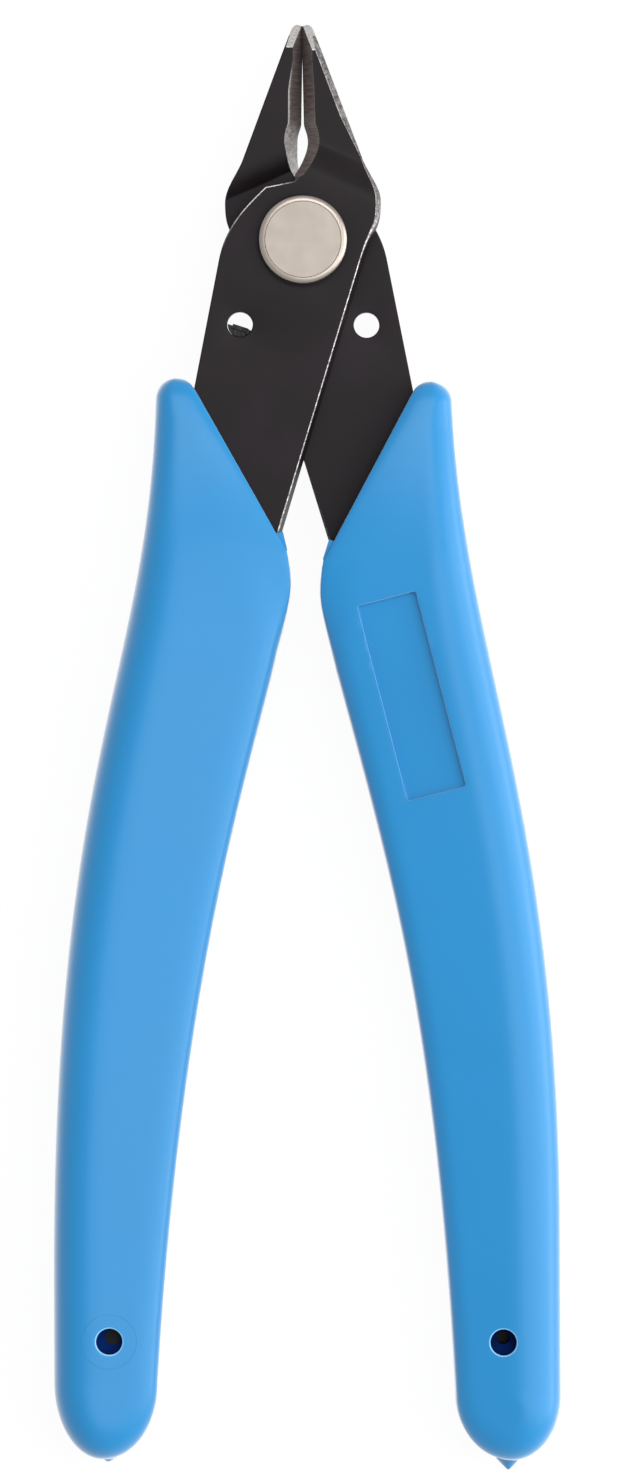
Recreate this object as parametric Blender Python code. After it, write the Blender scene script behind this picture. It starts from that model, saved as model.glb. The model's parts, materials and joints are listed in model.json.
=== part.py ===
"""Flush cutter: two crossed steel blades on one rivet, a flat return spring and two moulded grips.

Metres, +Z up. The tool lies flat with its jaws towards +Y. X is measured from the pivot, Y from the
middle of the length and Z from the surface that the grips rest on.
"""
import math

import bmesh
import bpy
import numpy as np
from mathutils import Matrix, Vector
from mathutils.geometry import interpolate_bezier

# Overall sizes
JAW_REACH = 0.0192  # pivot to the jaw tips
GRIP_REACH = 0.1078  # pivot to the rounded ends of the grips
GRIP_THICKNESS = 0.0095  # front face to back face of a grip

# Plates
PLATE_THICKNESS = 0.0020
PLATE_GAP = 0.0002  # running gap between the two plates
EDGE_BREAK = 0.00012  # worn edge of the stampings

# Jaws: cutting edge, throat and outer edge, measured from the pivot
TIP_GAP = 0.00010  # between the cutting edges at the tips
THROAT_GAP = 0.00022  # between the cutting edges where the throat begins
TIP_FLAT = 0.00030  # blunt end of one jaw
TIP_WIDTH = 0.00115  # half width of the closed jaws where the nose round ends
TIP_ROUND = 0.00105  # length of the nose round
SHOULDER_SPREAD = 0.0069  # widest place of the jaws
SHOULDER_RISE = 0.0034
JAW_ROOT_INSET = 0.0016  # where the straight outer edge runs into the shoulder
JAW_ROOT_CLIMB = 0.0038
TOP_EDGE_RISE = 0.0052  # plate's top edge beside the throat
THROAT_FOOT = 0.0010  # above the top edge
THROAT_SWELL = 0.0023  # from the foot to the widest place
THROAT_CLOSE = 0.00145  # from the widest place to the cutting edges
THROAT_HALF_WIDTH = 0.00048
THROAT_OVERLAP = 0.00022  # how far each blade passes the centre line below the throat
BEVEL_AT_TIP = 0.0006
BEVEL_AT_THROAT = 0.0010
BEVEL_AT_FOOT = 0.0003
EDGE_LAND = 0.00025  # flat left behind each cutting edge
JAW_CHAMFER = 0.0005  # on the outward face, along the outer edge
NOSE_LENGTH = 0.0020  # ground flat on the front of both tips
NOSE_EDGE = 0.00038  # thickness left at the very tip

# Joggle that brings both jaws into one plane
BEND_MARGIN = 0.00036  # from the other plate's corner, as it swings past, to the near bend
BEND_LENGTH = 0.0025
BEND_TURN = math.radians(24)

# Handles of the plates
CROTCH_DROP = 0.0194  # where the inner edges cross
INNER_SPLAY = math.radians(15.7)
INNER_START = 0.0017  # where the inner edge becomes straight
OUTER_AT_PIVOT = 0.0072  # outer edge, level with the pivot
OUTER_SPLAY = math.radians(11.1)
OUTER_START = 0.0017  # where the outer edge becomes straight
CORNER_SPREAD = 0.0033  # corner of the top edge, on the handle's side
CORNER_FALL = 0.0005  # below the top edge
TANG_COVER = 0.0073  # from the tang's end to the grip's end
TANG_FOLLOW = 0.0200  # pivot to where the tang's outer edge starts to follow the grip
WAIST_FULLNESS = 0.6  # how far the inner edge's line leads into the shoulder

# Rivet
HEAD_DIAMETER = 0.0078
HEAD_HEIGHT = 0.0011
HEAD_ROUND = 0.0006
SHANK_DIAMETER = 0.0046
TAIL_DIAMETER = 0.0066
TAIL_HEIGHT = 0.0009
TAIL_ROUND = 0.0005
SHANK_CLEARANCE = 0.0001  # all round the shank
SEAT_GAP = 0.0001  # under the head and over the tail

# Spring and the hole that holds its tab
HOLE_DIAMETER = 0.00226
HOLE_INSET = 0.00296  # from the plate's outer edge
HOLE_DROP = 0.00745
STRIP_THICKNESS = 0.00045
STRIP_HEIGHT = 0.0016
TAB_CLEARANCE = 0.00027  # between the tab's ends and the hole's wall
TAB_TILT = math.radians(18)
TAB_DROP = 0.00035  # below the hole's centre
TAB_SINK = 0.0004  # end face below the plate's front
STRIP_BEND = 0.0010  # bend between the tab and the leg
STRIP_REACH = 0.0192  # pivot to the free end
STRIP_CLEARANCE = 0.0003  # between the free end and the rear plate's edge
STRIP_CURL = 0.0004  # how far the free end turns away
STRIP_CURL_LENGTH = 0.0012

# Grips, measured across from the centre line and down from the pivot
GRIP_TOP = 0.0121
GRIP_TOP_SPREAD = 0.0129  # outer edge under the rounded top
GRIP_TOP_ROUND = 0.0019  # height of the rounded top, on the outer side
GRIP_TIP_INSET = 0.0018  # highest point, inside the outer edge
GRIP_MOUTH_INSET = 0.0031  # upper end of the slanting mouth, inside the outer edge
GRIP_MOUTH_FALL = 0.0011  # and below the highest point
GRIP_NOTCH = 0.0262  # foot of the slanting mouth
GRIP_NOTCH_SPREAD = 0.0020
GRIP_FLARE = 0.0019  # outward lean of the upper outer edge
GRIP_END_SPREAD = 0.0224
PALM_SPREAD = 0.00125  # closest approach of the grips
PALM_END_SPREAD = 0.0022
INNER_FLARE = 0.0086
INNER_SWEEP = 0.0116
INNER_END_SPREAD = 0.0132
GRIP_END_ROUND = 0.0068
OUTER_ROUND = 0.0040  # edge rounding on the outer side
INNER_ROUND = 0.0023  # edge rounding on the inner side
PALM_ROUND = 0.0036  # inner rounding at the palm
PALM_FADE = 0.0180  # length over which it fades out
MOUTH_LIP = 0.0005  # rubber left over the plate at the mouth
MOUTH_THINNING = 0.80  # thickness at the top against the full thickness
POCKET_CLEARANCE = 0.0002
PIN_HOLE_INSET = 0.0103  # from the grip's end
PIN_HOLE_DIAMETER = 0.00226
PIN_HOLE_DEPTH = 0.0017
PIN_BORE_DIAMETER = 0.0010
GATE_DIAMETER = 0.0016  # stub of the mould's gate on the grip's end
GATE_LENGTH = 0.0007
PANEL_DROP = 0.04035  # recessed panel on the right grip
PANEL_OFFSET = 0.0010  # towards the inner edge, from the middle of the grip
PANEL_WIDTH = 0.00534
PANEL_LENGTH = 0.0178
PANEL_DEPTH = 0.00035
PANEL_CORNER = 0.0005

# Places along a grip, as shares of the way from the notch to the rounded end
OUTER_SHARES = (0.16, 0.37, 0.85)
PALM_SHARES = (0.037, 0.075, 0.118)
INNER_SHARES = (0.44, 0.65)
END_FULLNESS = 0.55  # 1 is a round dome in thickness, 0 is square
TOP_FULLNESS = 0.40

# Largest roundings of a grip, as shares of its width or half thickness there
OUTER_LIMIT = 0.44
INNER_LIMIT = 0.52
MOUTH_LIMIT = 0.55
EDGE_LIMIT = 0.92
LIP_LIMIT = 0.30

# Materials: colour, roughness and metallic
BLACK_OXIDE = ((0.028, 0.024, 0.026), 0.42, 0.7)
NICKEL = ((0.58, 0.52, 0.46), 0.34, 1.0)
BLUED_STRIP = ((0.05, 0.05, 0.055), 0.38, 0.9)
BLUE_RUBBER = ((0.045, 0.29, 0.66), 0.42, 0.0)

# Facets
CURVE_STEPS = 7
ROUND_STEPS = 48
CORNER_STEPS = 5
TANG_STEPS = 8
BODY_STATIONS = 12
PALM_STATIONS = 6
MOUTH_STATIONS = 7
END_ANGLES = np.radians((84, 70, 54, 38, 20))
TOP_ANGLES = np.radians((25, 45, 62, 75, 85))
CREASE_ANGLE = math.radians(30)
MITRE_LIMIT = 0.6
MERGE_DISTANCE = 1e-7

FRONT, REAR = 1, -1
LIFT = (PLATE_THICKNESS + PLATE_GAP) / 2
HALF_STACK = PLATE_THICKNESS + PLATE_GAP / 2
PIVOT_Y = (GRIP_REACH + GATE_LENGTH - JAW_REACH) / 2
MID_Z = GRIP_THICKNESS / 2
CORNER_RISE = TOP_EDGE_RISE - CORNER_FALL
BEND_START = math.hypot(CORNER_SPREAD, CORNER_RISE) + BEND_MARGIN
TANG_REACH = GRIP_REACH - TANG_COVER
PIN_HOLE_DROP = GRIP_REACH - PIN_HOLE_INSET
GRIP_SHOULDER = GRIP_TOP + GRIP_TOP_ROUND


def clear_scene():
    """Remove every object that is already there."""
    for thing in list(bpy.data.objects):
        bpy.data.objects.remove(thing, do_unlink=True)


def make_material(name, finish):
    """Return a Principled material."""
    colour, roughness, metallic = finish
    material = bpy.data.materials.new(name)
    material.use_nodes = True
    shader = material.node_tree.nodes["Principled BSDF"]
    shader.inputs["Base Color"].default_value = (*colour, 1.0)
    shader.inputs["Roughness"].default_value = roughness
    shader.inputs["Metallic"].default_value = metallic
    return material


def smooth(mesh):
    """Shade a mesh smooth and keep its creases sharp."""
    mesh.shade_smooth()
    mesh.set_sharp_from_angle(angle=CREASE_ANGLE)


def make_object(name, mesh_builder, parent, material):
    """Turn a bmesh into a named object under an empty."""
    bmesh.ops.remove_doubles(mesh_builder, verts=mesh_builder.verts, dist=MERGE_DISTANCE)
    bmesh.ops.recalc_face_normals(mesh_builder, faces=mesh_builder.faces)
    mesh = bpy.data.meshes.new(name)
    mesh_builder.to_mesh(mesh)
    mesh_builder.free()
    smooth(mesh)
    thing = bpy.data.objects.new(name, mesh)
    bpy.context.collection.objects.link(thing)
    thing.parent = parent
    if material:
        mesh.materials.append(material)
    return thing


def make_tool(name, mesh_builder, parent):
    """Return a hidden shape used only to cut or join another one."""
    tool = make_object(name, mesh_builder, parent, None)
    tool.hide_render = True
    tool.display_type = 'WIRE'
    return tool


def combine(thing, tool, operation='DIFFERENCE'):
    """Add a Boolean modifier."""
    modifier = thing.modifiers.new(tool.name, 'BOOLEAN')
    modifier.operation = operation
    modifier.solver = 'EXACT'
    modifier.object = tool


def settle(thing):
    """Apply an object's Booleans, so that the new edges are shaded as creases too."""
    graph = bpy.context.evaluated_depsgraph_get()
    mesh = bpy.data.meshes.new_from_object(thing.evaluated_get(graph))
    thing.modifiers.clear()
    thing.data = mesh
    smooth(mesh)


def curve(start, first_handle, second_handle, end, steps=CURVE_STEPS):
    """Return points along one Bezier stretch, without its last point."""
    knots = [Vector((*point, 0.0)) for point in (start, first_handle, second_handle, end)]
    points = interpolate_bezier(*knots, steps + 1)
    return [(point.x, point.y) for point in points[:-1]]


def loft(rings):
    """Return a closed bmesh whose sides join rings of equally many points."""
    solid = bmesh.new()
    loops = [[solid.verts.new(point) for point in ring] for ring in rings]
    count = len(loops[0])
    for lower, upper in zip(loops, loops[1:]):
        for here in range(count):
            after = (here + 1) % count
            solid.faces.new((lower[here], lower[after], upper[after], upper[here]))
    solid.faces.new(loops[0])
    solid.faces.new(loops[-1])
    return solid


def cylinder(radius, low, high, place, steps=ROUND_STEPS):
    """Return an upright cylinder between two heights, centred on an XY place."""
    solid = bmesh.new()
    bmesh.ops.create_cone(
        solid, cap_ends=True, segments=steps, radius1=radius, radius2=radius, depth=high - low,
        matrix=Matrix.Translation((*place, (low + high) / 2)))
    return solid


def grip_depth(share):
    """Return a depth below the pivot, at a share of the way from the notch to the rounded end."""
    return GRIP_NOTCH + share * (GRIP_REACH - GRIP_END_ROUND - GRIP_NOTCH)


def outer_edge():
    """Return the grip's outer edge as (spread, depth) points, top to rounded end."""
    first, second, widest = (grip_depth(share) for share in OUTER_SHARES)
    points = curve(
        (GRIP_TOP_SPREAD - GRIP_TIP_INSET, GRIP_TOP), (GRIP_TOP_SPREAD - GRIP_TIP_INSET / 3, GRIP_TOP),
        (GRIP_TOP_SPREAD, GRIP_TOP + GRIP_TOP_ROUND / 2), (GRIP_TOP_SPREAD, GRIP_SHOULDER), 2 * CURVE_STEPS)
    points += curve(
        (GRIP_TOP_SPREAD, GRIP_SHOULDER), (GRIP_TOP_SPREAD + GRIP_FLARE, first),
        (GRIP_END_SPREAD, second), (GRIP_END_SPREAD, widest), 4 * CURVE_STEPS)
    return np.array(points + [(GRIP_END_SPREAD, widest), (GRIP_END_SPREAD, grip_depth(1.0))])


def inner_edge():
    """Return the grip's inner edge: slanting mouth, palm bulge, then the long sweep to the end."""
    first, second, palm_end = (grip_depth(share) for share in PALM_SHARES)
    flare, sweep = (grip_depth(share) for share in INNER_SHARES)
    tip = (GRIP_TOP_SPREAD - GRIP_TIP_INSET, GRIP_TOP)
    upper = (GRIP_TOP_SPREAD - GRIP_MOUTH_INSET, GRIP_TOP + GRIP_MOUTH_FALL)
    slant = (upper[0] - GRIP_NOTCH_SPREAD) / (GRIP_NOTCH - upper[1])
    lead = GRIP_MOUTH_FALL / 3
    mouth = curve(
        tip, ((tip[0] + upper[0]) / 2, GRIP_TOP), (upper[0] + slant * lead, upper[1] - lead), upper,
        2 * CURVE_STEPS)
    mouth += [upper]
    palm = curve(
        (GRIP_NOTCH_SPREAD, GRIP_NOTCH), (PALM_SPREAD, first), (PALM_SPREAD, second),
        (PALM_END_SPREAD, palm_end), 2 * CURVE_STEPS)
    long_sweep = curve(
        (PALM_END_SPREAD, palm_end), (INNER_FLARE, flare), (INNER_SWEEP, sweep),
        (INNER_END_SPREAD, grip_depth(1.0)), 4 * CURVE_STEPS)
    return np.array(mouth + palm + long_sweep + [(INNER_END_SPREAD, grip_depth(1.0))])


def spread_at(edge, depth):
    """Read an edge's spread at a depth."""
    return float(np.interp(depth, edge[:, 1], edge[:, 0]))


def straight_inner(depth):
    """Return the spread of the plate's straight inner edge, towards its own handle."""
    return (depth - CROTCH_DROP) * math.tan(INNER_SPLAY)


def straight_outer(depth):
    """Return the spread of the plate's straight outer edge."""
    return OUTER_AT_PIVOT + depth * math.tan(OUTER_SPLAY)


def hole_spread():
    """Return the spread of the spring's hole from the centre line."""
    return straight_outer(HOLE_DROP) - HOLE_INSET


def tang_edges(grown):
    """Return the tang's inner edge, round end and outer edge as (spread, depth), grown all round."""
    outer, inner = outer_edge(), inner_edge()
    palm_end = grip_depth(PALM_SHARES[-1])
    inner_wall = straight_inner(palm_end) - spread_at(inner, palm_end)
    outer_wall = spread_at(outer, TANG_FOLLOW) - straight_outer(TANG_FOLLOW)
    end_radius = (spread_at(outer, TANG_REACH) - spread_at(inner, TANG_REACH) - outer_wall - inner_wall) / 2
    round_start = TANG_REACH - end_radius
    down = [(spread_at(inner, depth) + inner_wall - grown, depth)
            for depth in np.linspace(palm_end, round_start, TANG_STEPS)]
    back = [(spread_at(outer, depth) - outer_wall + grown, depth)
            for depth in np.linspace(round_start, TANG_FOLLOW, TANG_STEPS)]
    middle = (down[-1][0] + back[0][0]) / 2
    half = (back[0][0] - down[-1][0]) / 2
    angles = [math.pi * (1 - step / CURVE_STEPS) for step in range(1, CURVE_STEPS)]
    end = [(middle + half * math.cos(a), round_start + (end_radius + grown) * math.sin(a)) for a in angles]
    return down + end + back


def blade_outline():
    """Return the stamped outline with the jaw at +X and the handle at -X, clockwise from the tip.

    Each row is a point, the width of the cutting bevel there and the width of the edge chamfer.
    """
    tip, throat = TIP_GAP / 2, THROAT_GAP / 2
    root = (SHOULDER_SPREAD - JAW_ROOT_INSET, SHOULDER_RISE + JAW_ROOT_CLIMB)
    jaw_slope = (root[0] - TIP_WIDTH) / (JAW_REACH - TIP_ROUND - root[1])
    shoulder_lead = JAW_ROOT_CLIMB / 3
    inner_lead = SHOULDER_RISE + INNER_START
    lead_in = WAIST_FULLNESS * inner_lead
    inner_top = (-straight_inner(INNER_START), -INNER_START)
    nose = curve(
        (tip + TIP_FLAT, JAW_REACH), (tip + 2 * TIP_FLAT, JAW_REACH),
        (TIP_WIDTH - jaw_slope * TIP_ROUND / 2, JAW_REACH - TIP_ROUND / 2),
        (TIP_WIDTH, JAW_REACH - TIP_ROUND), 3)
    shoulder = curve(
        root, (root[0] + jaw_slope * shoulder_lead, root[1] - shoulder_lead),
        (SHOULDER_SPREAD, SHOULDER_RISE + shoulder_lead), (SHOULDER_SPREAD, SHOULDER_RISE))
    waist = curve(
        (SHOULDER_SPREAD, SHOULDER_RISE), (SHOULDER_SPREAD, SHOULDER_RISE - inner_lead / 2),
        (inner_top[0] + math.tan(INNER_SPLAY) * lead_in, inner_top[1] + lead_in), inner_top)
    handle = [(-spread, -depth) for spread, depth in tang_edges(0.0)]
    outer_foot = (-straight_outer(OUTER_START), -OUTER_START)
    outer_lead = (CORNER_RISE + OUTER_START) / 2
    corner_lead = (outer_foot[0] + CORNER_SPREAD) / 3
    flank = curve(
        outer_foot, (outer_foot[0] + math.tan(OUTER_SPLAY) * outer_lead, outer_foot[1] + outer_lead),
        (-CORNER_SPREAD + corner_lead, CORNER_RISE + corner_lead), (-CORNER_SPREAD, CORNER_RISE))
    top_edge = [(-CORNER_SPREAD, CORNER_RISE), (-THROAT_OVERLAP, TOP_EDGE_RISE)]
    foot = TOP_EDGE_RISE + THROAT_FOOT
    widest = foot + THROAT_SWELL
    closed = widest + THROAT_CLOSE
    throat_low = curve(
        (-THROAT_OVERLAP, foot), (0.0, foot + THROAT_SWELL / 3),
        (THROAT_HALF_WIDTH, widest - THROAT_SWELL / 3), (THROAT_HALF_WIDTH, widest), 5)
    throat_high = curve(
        (THROAT_HALF_WIDTH, widest), (THROAT_HALF_WIDTH, widest + THROAT_CLOSE / 2),
        ((throat + THROAT_HALF_WIDTH) / 2, closed - THROAT_CLOSE / 4), (throat, closed), 4)
    rows = [(point, 0.0, 0.0) for point in nose]
    rows += [(point, 0.0, JAW_CHAMFER) for point in [(TIP_WIDTH, JAW_REACH - TIP_ROUND)] + shoulder]
    rows += [(point, 0.0, EDGE_BREAK + (JAW_CHAMFER - EDGE_BREAK) * (1 - step / len(waist)))
             for step, point in enumerate(waist)]
    rows += [(point, 0.0, EDGE_BREAK) for point in [inner_top] + handle + flank + top_edge]
    low = np.linspace(BEVEL_AT_FOOT, BEVEL_AT_THROAT, len(throat_low) + 1)
    rows += [(point, width, 0.0) for point, width in zip(throat_low, low)]
    rows += [(point, BEVEL_AT_THROAT, 0.0) for point in throat_high]
    rows += [((throat, closed), BEVEL_AT_THROAT, 0.0), ((tip, JAW_REACH), BEVEL_AT_TIP, 0.0)]
    return rows


def inward(points):
    """Return each point's mitred direction into a clockwise outline."""
    previous, following = np.roll(points, 1, axis=0), np.roll(points, -1, axis=0)
    before, after = points - previous, following - points
    before /= np.linalg.norm(before, axis=1, keepdims=True)
    after /= np.linalg.norm(after, axis=1, keepdims=True)
    normals = np.stack([before[:, 1] + after[:, 1], -(before[:, 0] + after[:, 0])], axis=1)
    normals /= np.linalg.norm(normals, axis=1, keepdims=True)
    lean = normals[:, 0] * after[:, 1] - normals[:, 1] * after[:, 0]
    return normals / np.maximum(lean, MITRE_LIMIT)[:, None]


def blade_levels():
    """Return the heights of the plate's rings, front to back."""
    half = PLATE_THICKNESS / 2
    return sorted({half, half - JAW_CHAMFER, JAW_CHAMFER - half, EDGE_LAND - half, -half}, reverse=True)


def blade_ring(points, into, bevels, chamfers, height, side):
    """Return one ring: the outline drawn in by the cutting bevel and by the edge chamfer."""
    half = PLATE_THICKNESS / 2
    ground = np.clip((height + half - EDGE_LAND) / (PLATE_THICKNESS - EDGE_LAND), 0, 1)
    broken = np.clip((side * height - half + JAW_CHAMFER) / JAW_CHAMFER, 0, 1)
    drawn = points + into * (bevels * ground + chamfers * broken)[:, None]
    return [(side * x, y, height) for x, y in drawn]


def grind_nose(blade):
    """Cut the ground flat on the front of the tip."""
    place = (0.0, JAW_REACH - NOSE_LENGTH, PLATE_THICKNESS / 2)
    facing = (0.0, PLATE_THICKNESS - NOSE_EDGE, NOSE_LENGTH)
    geometry = blade.verts[:] + blade.edges[:] + blade.faces[:]
    bmesh.ops.bisect_plane(blade, geom=geometry, plane_co=place, plane_no=facing, clear_outer=True)
    bmesh.ops.holes_fill(blade, edges=[edge for edge in blade.edges if edge.is_boundary], sides=0)


def joggle(blade, side):
    """Crease the plate at two bends and lift everything but the jaw out of the middle plane."""
    across = Vector((side * math.sin(BEND_TURN), math.cos(BEND_TURN), 0.0))
    for reach in (BEND_START, BEND_START + BEND_LENGTH):
        geometry = blade.verts[:] + blade.edges[:] + blade.faces[:]
        bmesh.ops.bisect_plane(blade, geom=geometry, plane_co=across * reach, plane_no=across)
    for vert in blade.verts:
        flat = Vector((vert.co.x, vert.co.y, 0.0))
        share = (flat.dot(across) - BEND_START) / BEND_LENGTH
        vert.co.z += side * LIFT * (1.0 - min(max(share, 0.0), 1.0))


def make_blade(name, side, parent, material, bore, hole):
    """Model one stamped half: ringed outline, ground nose, joggle, rivet bore and spring hole."""
    rows = blade_outline()
    points = np.array([row[0] for row in rows])
    bevels = np.array([row[1] for row in rows])
    chamfers = np.array([row[2] for row in rows])
    into = inward(points)
    rings = [blade_ring(points, into, bevels, chamfers, height, side) for height in blade_levels()]
    blade = loft(rings)
    bmesh.ops.remove_doubles(blade, verts=blade.verts, dist=MERGE_DISTANCE)
    grind_nose(blade)
    joggle(blade, side)
    thing = make_object(name, blade, parent, material)
    combine(thing, bore)
    combine(thing, hole)
    settle(thing)


def quarter_arc(radius, place, start):
    """Return points over a quarter turn from a start angle, in (radius, height)."""
    angles = [start + math.pi / 2 * step / CORNER_STEPS for step in range(CORNER_STEPS + 1)]
    return [(place[0] + radius * math.cos(a), place[1] + radius * math.sin(a)) for a in angles]


def make_rivet(name, parent, material):
    """Turn the rivet: flat rounded head in front, shank, and the closed tail behind."""
    head_base = HALF_STACK + SEAT_GAP
    head_top = head_base + HEAD_HEIGHT
    tail_end = -head_base - TAIL_HEIGHT
    tail_radius, head_radius, shank_radius = TAIL_DIAMETER / 2, HEAD_DIAMETER / 2, SHANK_DIAMETER / 2
    profile = [(0.0, tail_end)]
    profile += quarter_arc(TAIL_ROUND, (tail_radius - TAIL_ROUND, tail_end + TAIL_ROUND), -math.pi / 2)
    profile += [(tail_radius, -head_base), (shank_radius, -head_base)]
    profile += [(shank_radius, head_base), (head_radius, head_base)]
    profile += quarter_arc(HEAD_ROUND, (head_radius - HEAD_ROUND, head_top - HEAD_ROUND), 0.0)
    profile += [(0.0, head_top)]
    rivet = bmesh.new()
    verts = [rivet.verts.new((radius, 0.0, height)) for radius, height in profile]
    edges = [rivet.edges.new(pair) for pair in zip(verts, verts[1:])]
    bmesh.ops.spin(
        rivet, geom=verts + edges, cent=(0, 0, 0), axis=(0, 0, 1), angle=2 * math.pi,
        steps=ROUND_STEPS, use_merge=True)
    return make_object(name, rivet, parent, material)


def spring_route():
    """Return the strip's centre line: tab, bend, leg along the rear plate's edge and curled free end."""
    lead = Vector((math.cos(TAB_TILT), -math.sin(TAB_TILT)))
    low_edge = TAB_DROP + STRIP_THICKNESS / 2
    half_tab = math.sqrt((HOLE_DIAMETER / 2) ** 2 - low_edge ** 2) - TAB_CLEARANCE
    middle = Vector((-hole_spread(), -HOLE_DROP - TAB_DROP))
    start, end = middle - lead * half_tab, middle + lead * half_tab
    down = math.pi / 2 - INNER_SPLAY
    angles = [TAB_TILT + (down - TAB_TILT) * step / CURVE_STEPS for step in range(CURVE_STEPS + 1)]
    turn = [(end.x + STRIP_BEND * (math.sin(a) - math.sin(TAB_TILT)),
             end.y + STRIP_BEND * (math.cos(a) - math.cos(TAB_TILT))) for a in angles]
    stand_off = (STRIP_CLEARANCE + STRIP_THICKNESS / 2) / math.cos(INNER_SPLAY)
    touch_drop = STRIP_REACH - STRIP_CURL_LENGTH
    touch = (straight_inner(touch_drop) - stand_off, -touch_drop)
    leg_lead = (touch_drop + turn[-1][1]) / 3
    slope = math.tan(INNER_SPLAY)
    leg = curve(
        turn[-1], (turn[-1][0] + slope * leg_lead, turn[-1][1] - leg_lead),
        (touch[0] - slope * leg_lead, touch[1] + leg_lead), touch)
    last = (touch[0] - STRIP_CURL, -STRIP_REACH)
    third = STRIP_CURL_LENGTH / 3
    curl = curve(touch, (touch[0] + slope * third, touch[1] - third), (touch[0], last[1] + third), last, 4)
    return [tuple(start), tuple(end)] + turn[1:] + leg[1:] + curl + [last]


def make_spring(name, parent, material):
    """Sweep the flat strip on edge along its route, with the tall tab at its start."""
    route = np.array(spring_route())
    ahead = np.gradient(route, axis=0)
    ahead /= np.linalg.norm(ahead, axis=1, keepdims=True)
    ahead[0] = ahead[1] = (math.cos(TAB_TILT), -math.sin(TAB_TILT))
    aside = np.stack([-ahead[:, 1], ahead[:, 0]], axis=1) * STRIP_THICKNESS / 2
    middle = -PLATE_GAP / 2 - PLATE_THICKNESS / 2
    low, high = middle - STRIP_HEIGHT / 2, middle + STRIP_HEIGHT / 2
    tab_top = HALF_STACK - TAB_SINK
    rings = []
    for step, (place, offset) in enumerate(zip(route, aside)):
        left, right = place + offset, place - offset
        tops = (tab_top,) if step == 0 else (tab_top, high) if step == 1 else (high,)
        for number, top in enumerate(tops):
            slip = ahead[step] * STRIP_THICKNESS / 4 * number
            rings.append([(*(left + slip), low), (*(right + slip), low), (*(right + slip), top),
                          (*(left + slip), top)])
    return make_object(name, loft(rings), parent, material)


def grip_stations():
    """Return (depth, inner spread, outer spread, half thickness, mouth share) from end to top."""
    outer, inner = outer_edge(), inner_edge()
    half = GRIP_THICKNESS / 2
    end_depth = grip_depth(1.0)
    end_inner, end_outer = spread_at(inner, end_depth), spread_at(outer, end_depth)
    centre, half_width = (end_inner + end_outer) / 2, (end_outer - end_inner) / 2
    stations = []
    for angle in END_ANGLES:
        reach = half_width * math.cos(angle)
        stations.append((end_depth + GRIP_END_ROUND * math.sin(angle), centre - reach, centre + reach,
                         half * math.cos(angle) ** END_FULLNESS, 0.0))
    palm_end = grip_depth(PALM_SHARES[-1])
    for depth in np.linspace(end_depth, palm_end, BODY_STATIONS):
        stations.append((depth, spread_at(inner, depth), spread_at(outer, depth), half, 0.0))
    for depth in np.linspace(palm_end, GRIP_NOTCH, PALM_STATIONS)[1:]:
        mouth = (palm_end - depth) / (palm_end - GRIP_NOTCH) / 2
        stations.append((depth, spread_at(inner, depth), spread_at(outer, depth), half, mouth))
    for depth in np.linspace(GRIP_NOTCH, GRIP_SHOULDER, MOUTH_STATIONS)[1:]:
        share = (GRIP_NOTCH - depth) / (GRIP_NOTCH - GRIP_SHOULDER)
        thin = half * (1 - (1 - MOUTH_THINNING) * share)
        stations.append((depth, spread_at(inner, depth), spread_at(outer, depth), thin, 0.5 + share / 2))
    for angle in TOP_ANGLES:
        depth = GRIP_SHOULDER - GRIP_TOP_ROUND * math.sin(angle)
        stations.append((depth, spread_at(inner, depth), spread_at(outer, depth),
                         half * MOUTH_THINNING * math.cos(angle) ** TOP_FULLNESS, 1.0))
    return stations


def grip_section(depth, inner, outer, half, mouth, side):
    """Return one rounded section of the grip, square to its length."""
    width = outer - inner
    palm_end = grip_depth(PALM_SHARES[-1])
    inner_round = np.interp(depth, (palm_end, palm_end + PALM_FADE), (PALM_ROUND, INNER_ROUND))
    inner_x = min(inner_round + (MOUTH_LIMIT * width - inner_round) * mouth, INNER_LIMIT * width)
    inner_z = min(inner_round, EDGE_LIMIT * half)
    lip_round = max(half - HALF_STACK - MOUTH_LIP, LIP_LIMIT * half)
    inner_z += (lip_round - inner_z) * mouth
    outer_x = min(OUTER_ROUND, OUTER_LIMIT * width)
    outer_z = min(OUTER_ROUND, EDGE_LIMIT * half)
    quarter = [math.pi / 2 * step / CORNER_STEPS for step in range(CORNER_STEPS + 1)]
    front_out = [(outer - outer_x + outer_x * math.sin(a), half - outer_z + outer_z * math.cos(a))
                 for a in quarter]
    front_in = [(inner + inner_x - inner_x * math.sin(a), half - inner_z + inner_z * math.cos(a))
                for a in quarter]
    back_out = [(x, -z) for x, z in reversed(front_out)]
    back_in = [(x, -z) for x, z in front_in]
    around = front_out + back_out + back_in + list(reversed(front_in))
    return [(side * x, -depth, z) for x, z in around]


def pocket(side):
    """Return the shape of the tang's pocket, open at the mouth: the plate grown by its clearance."""
    grown = tang_edges(POCKET_CLEARANCE)
    above = GRIP_TOP - (GRIP_NOTCH - GRIP_TOP) / 4
    slack = POCKET_CLEARANCE / math.cos(INNER_SPLAY)
    mouth = [(straight_outer(above) + slack, above), (straight_inner(above) - slack, above)]
    outline = [(side * spread, -depth) for spread, depth in grown + mouth]
    low = PLATE_GAP / 2 - POCKET_CLEARANCE
    high = HALF_STACK + POCKET_CLEARANCE
    plate_side = -side
    return loft([[(x, y, plate_side * height) for x, y in outline] for height in (low, high)])


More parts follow.
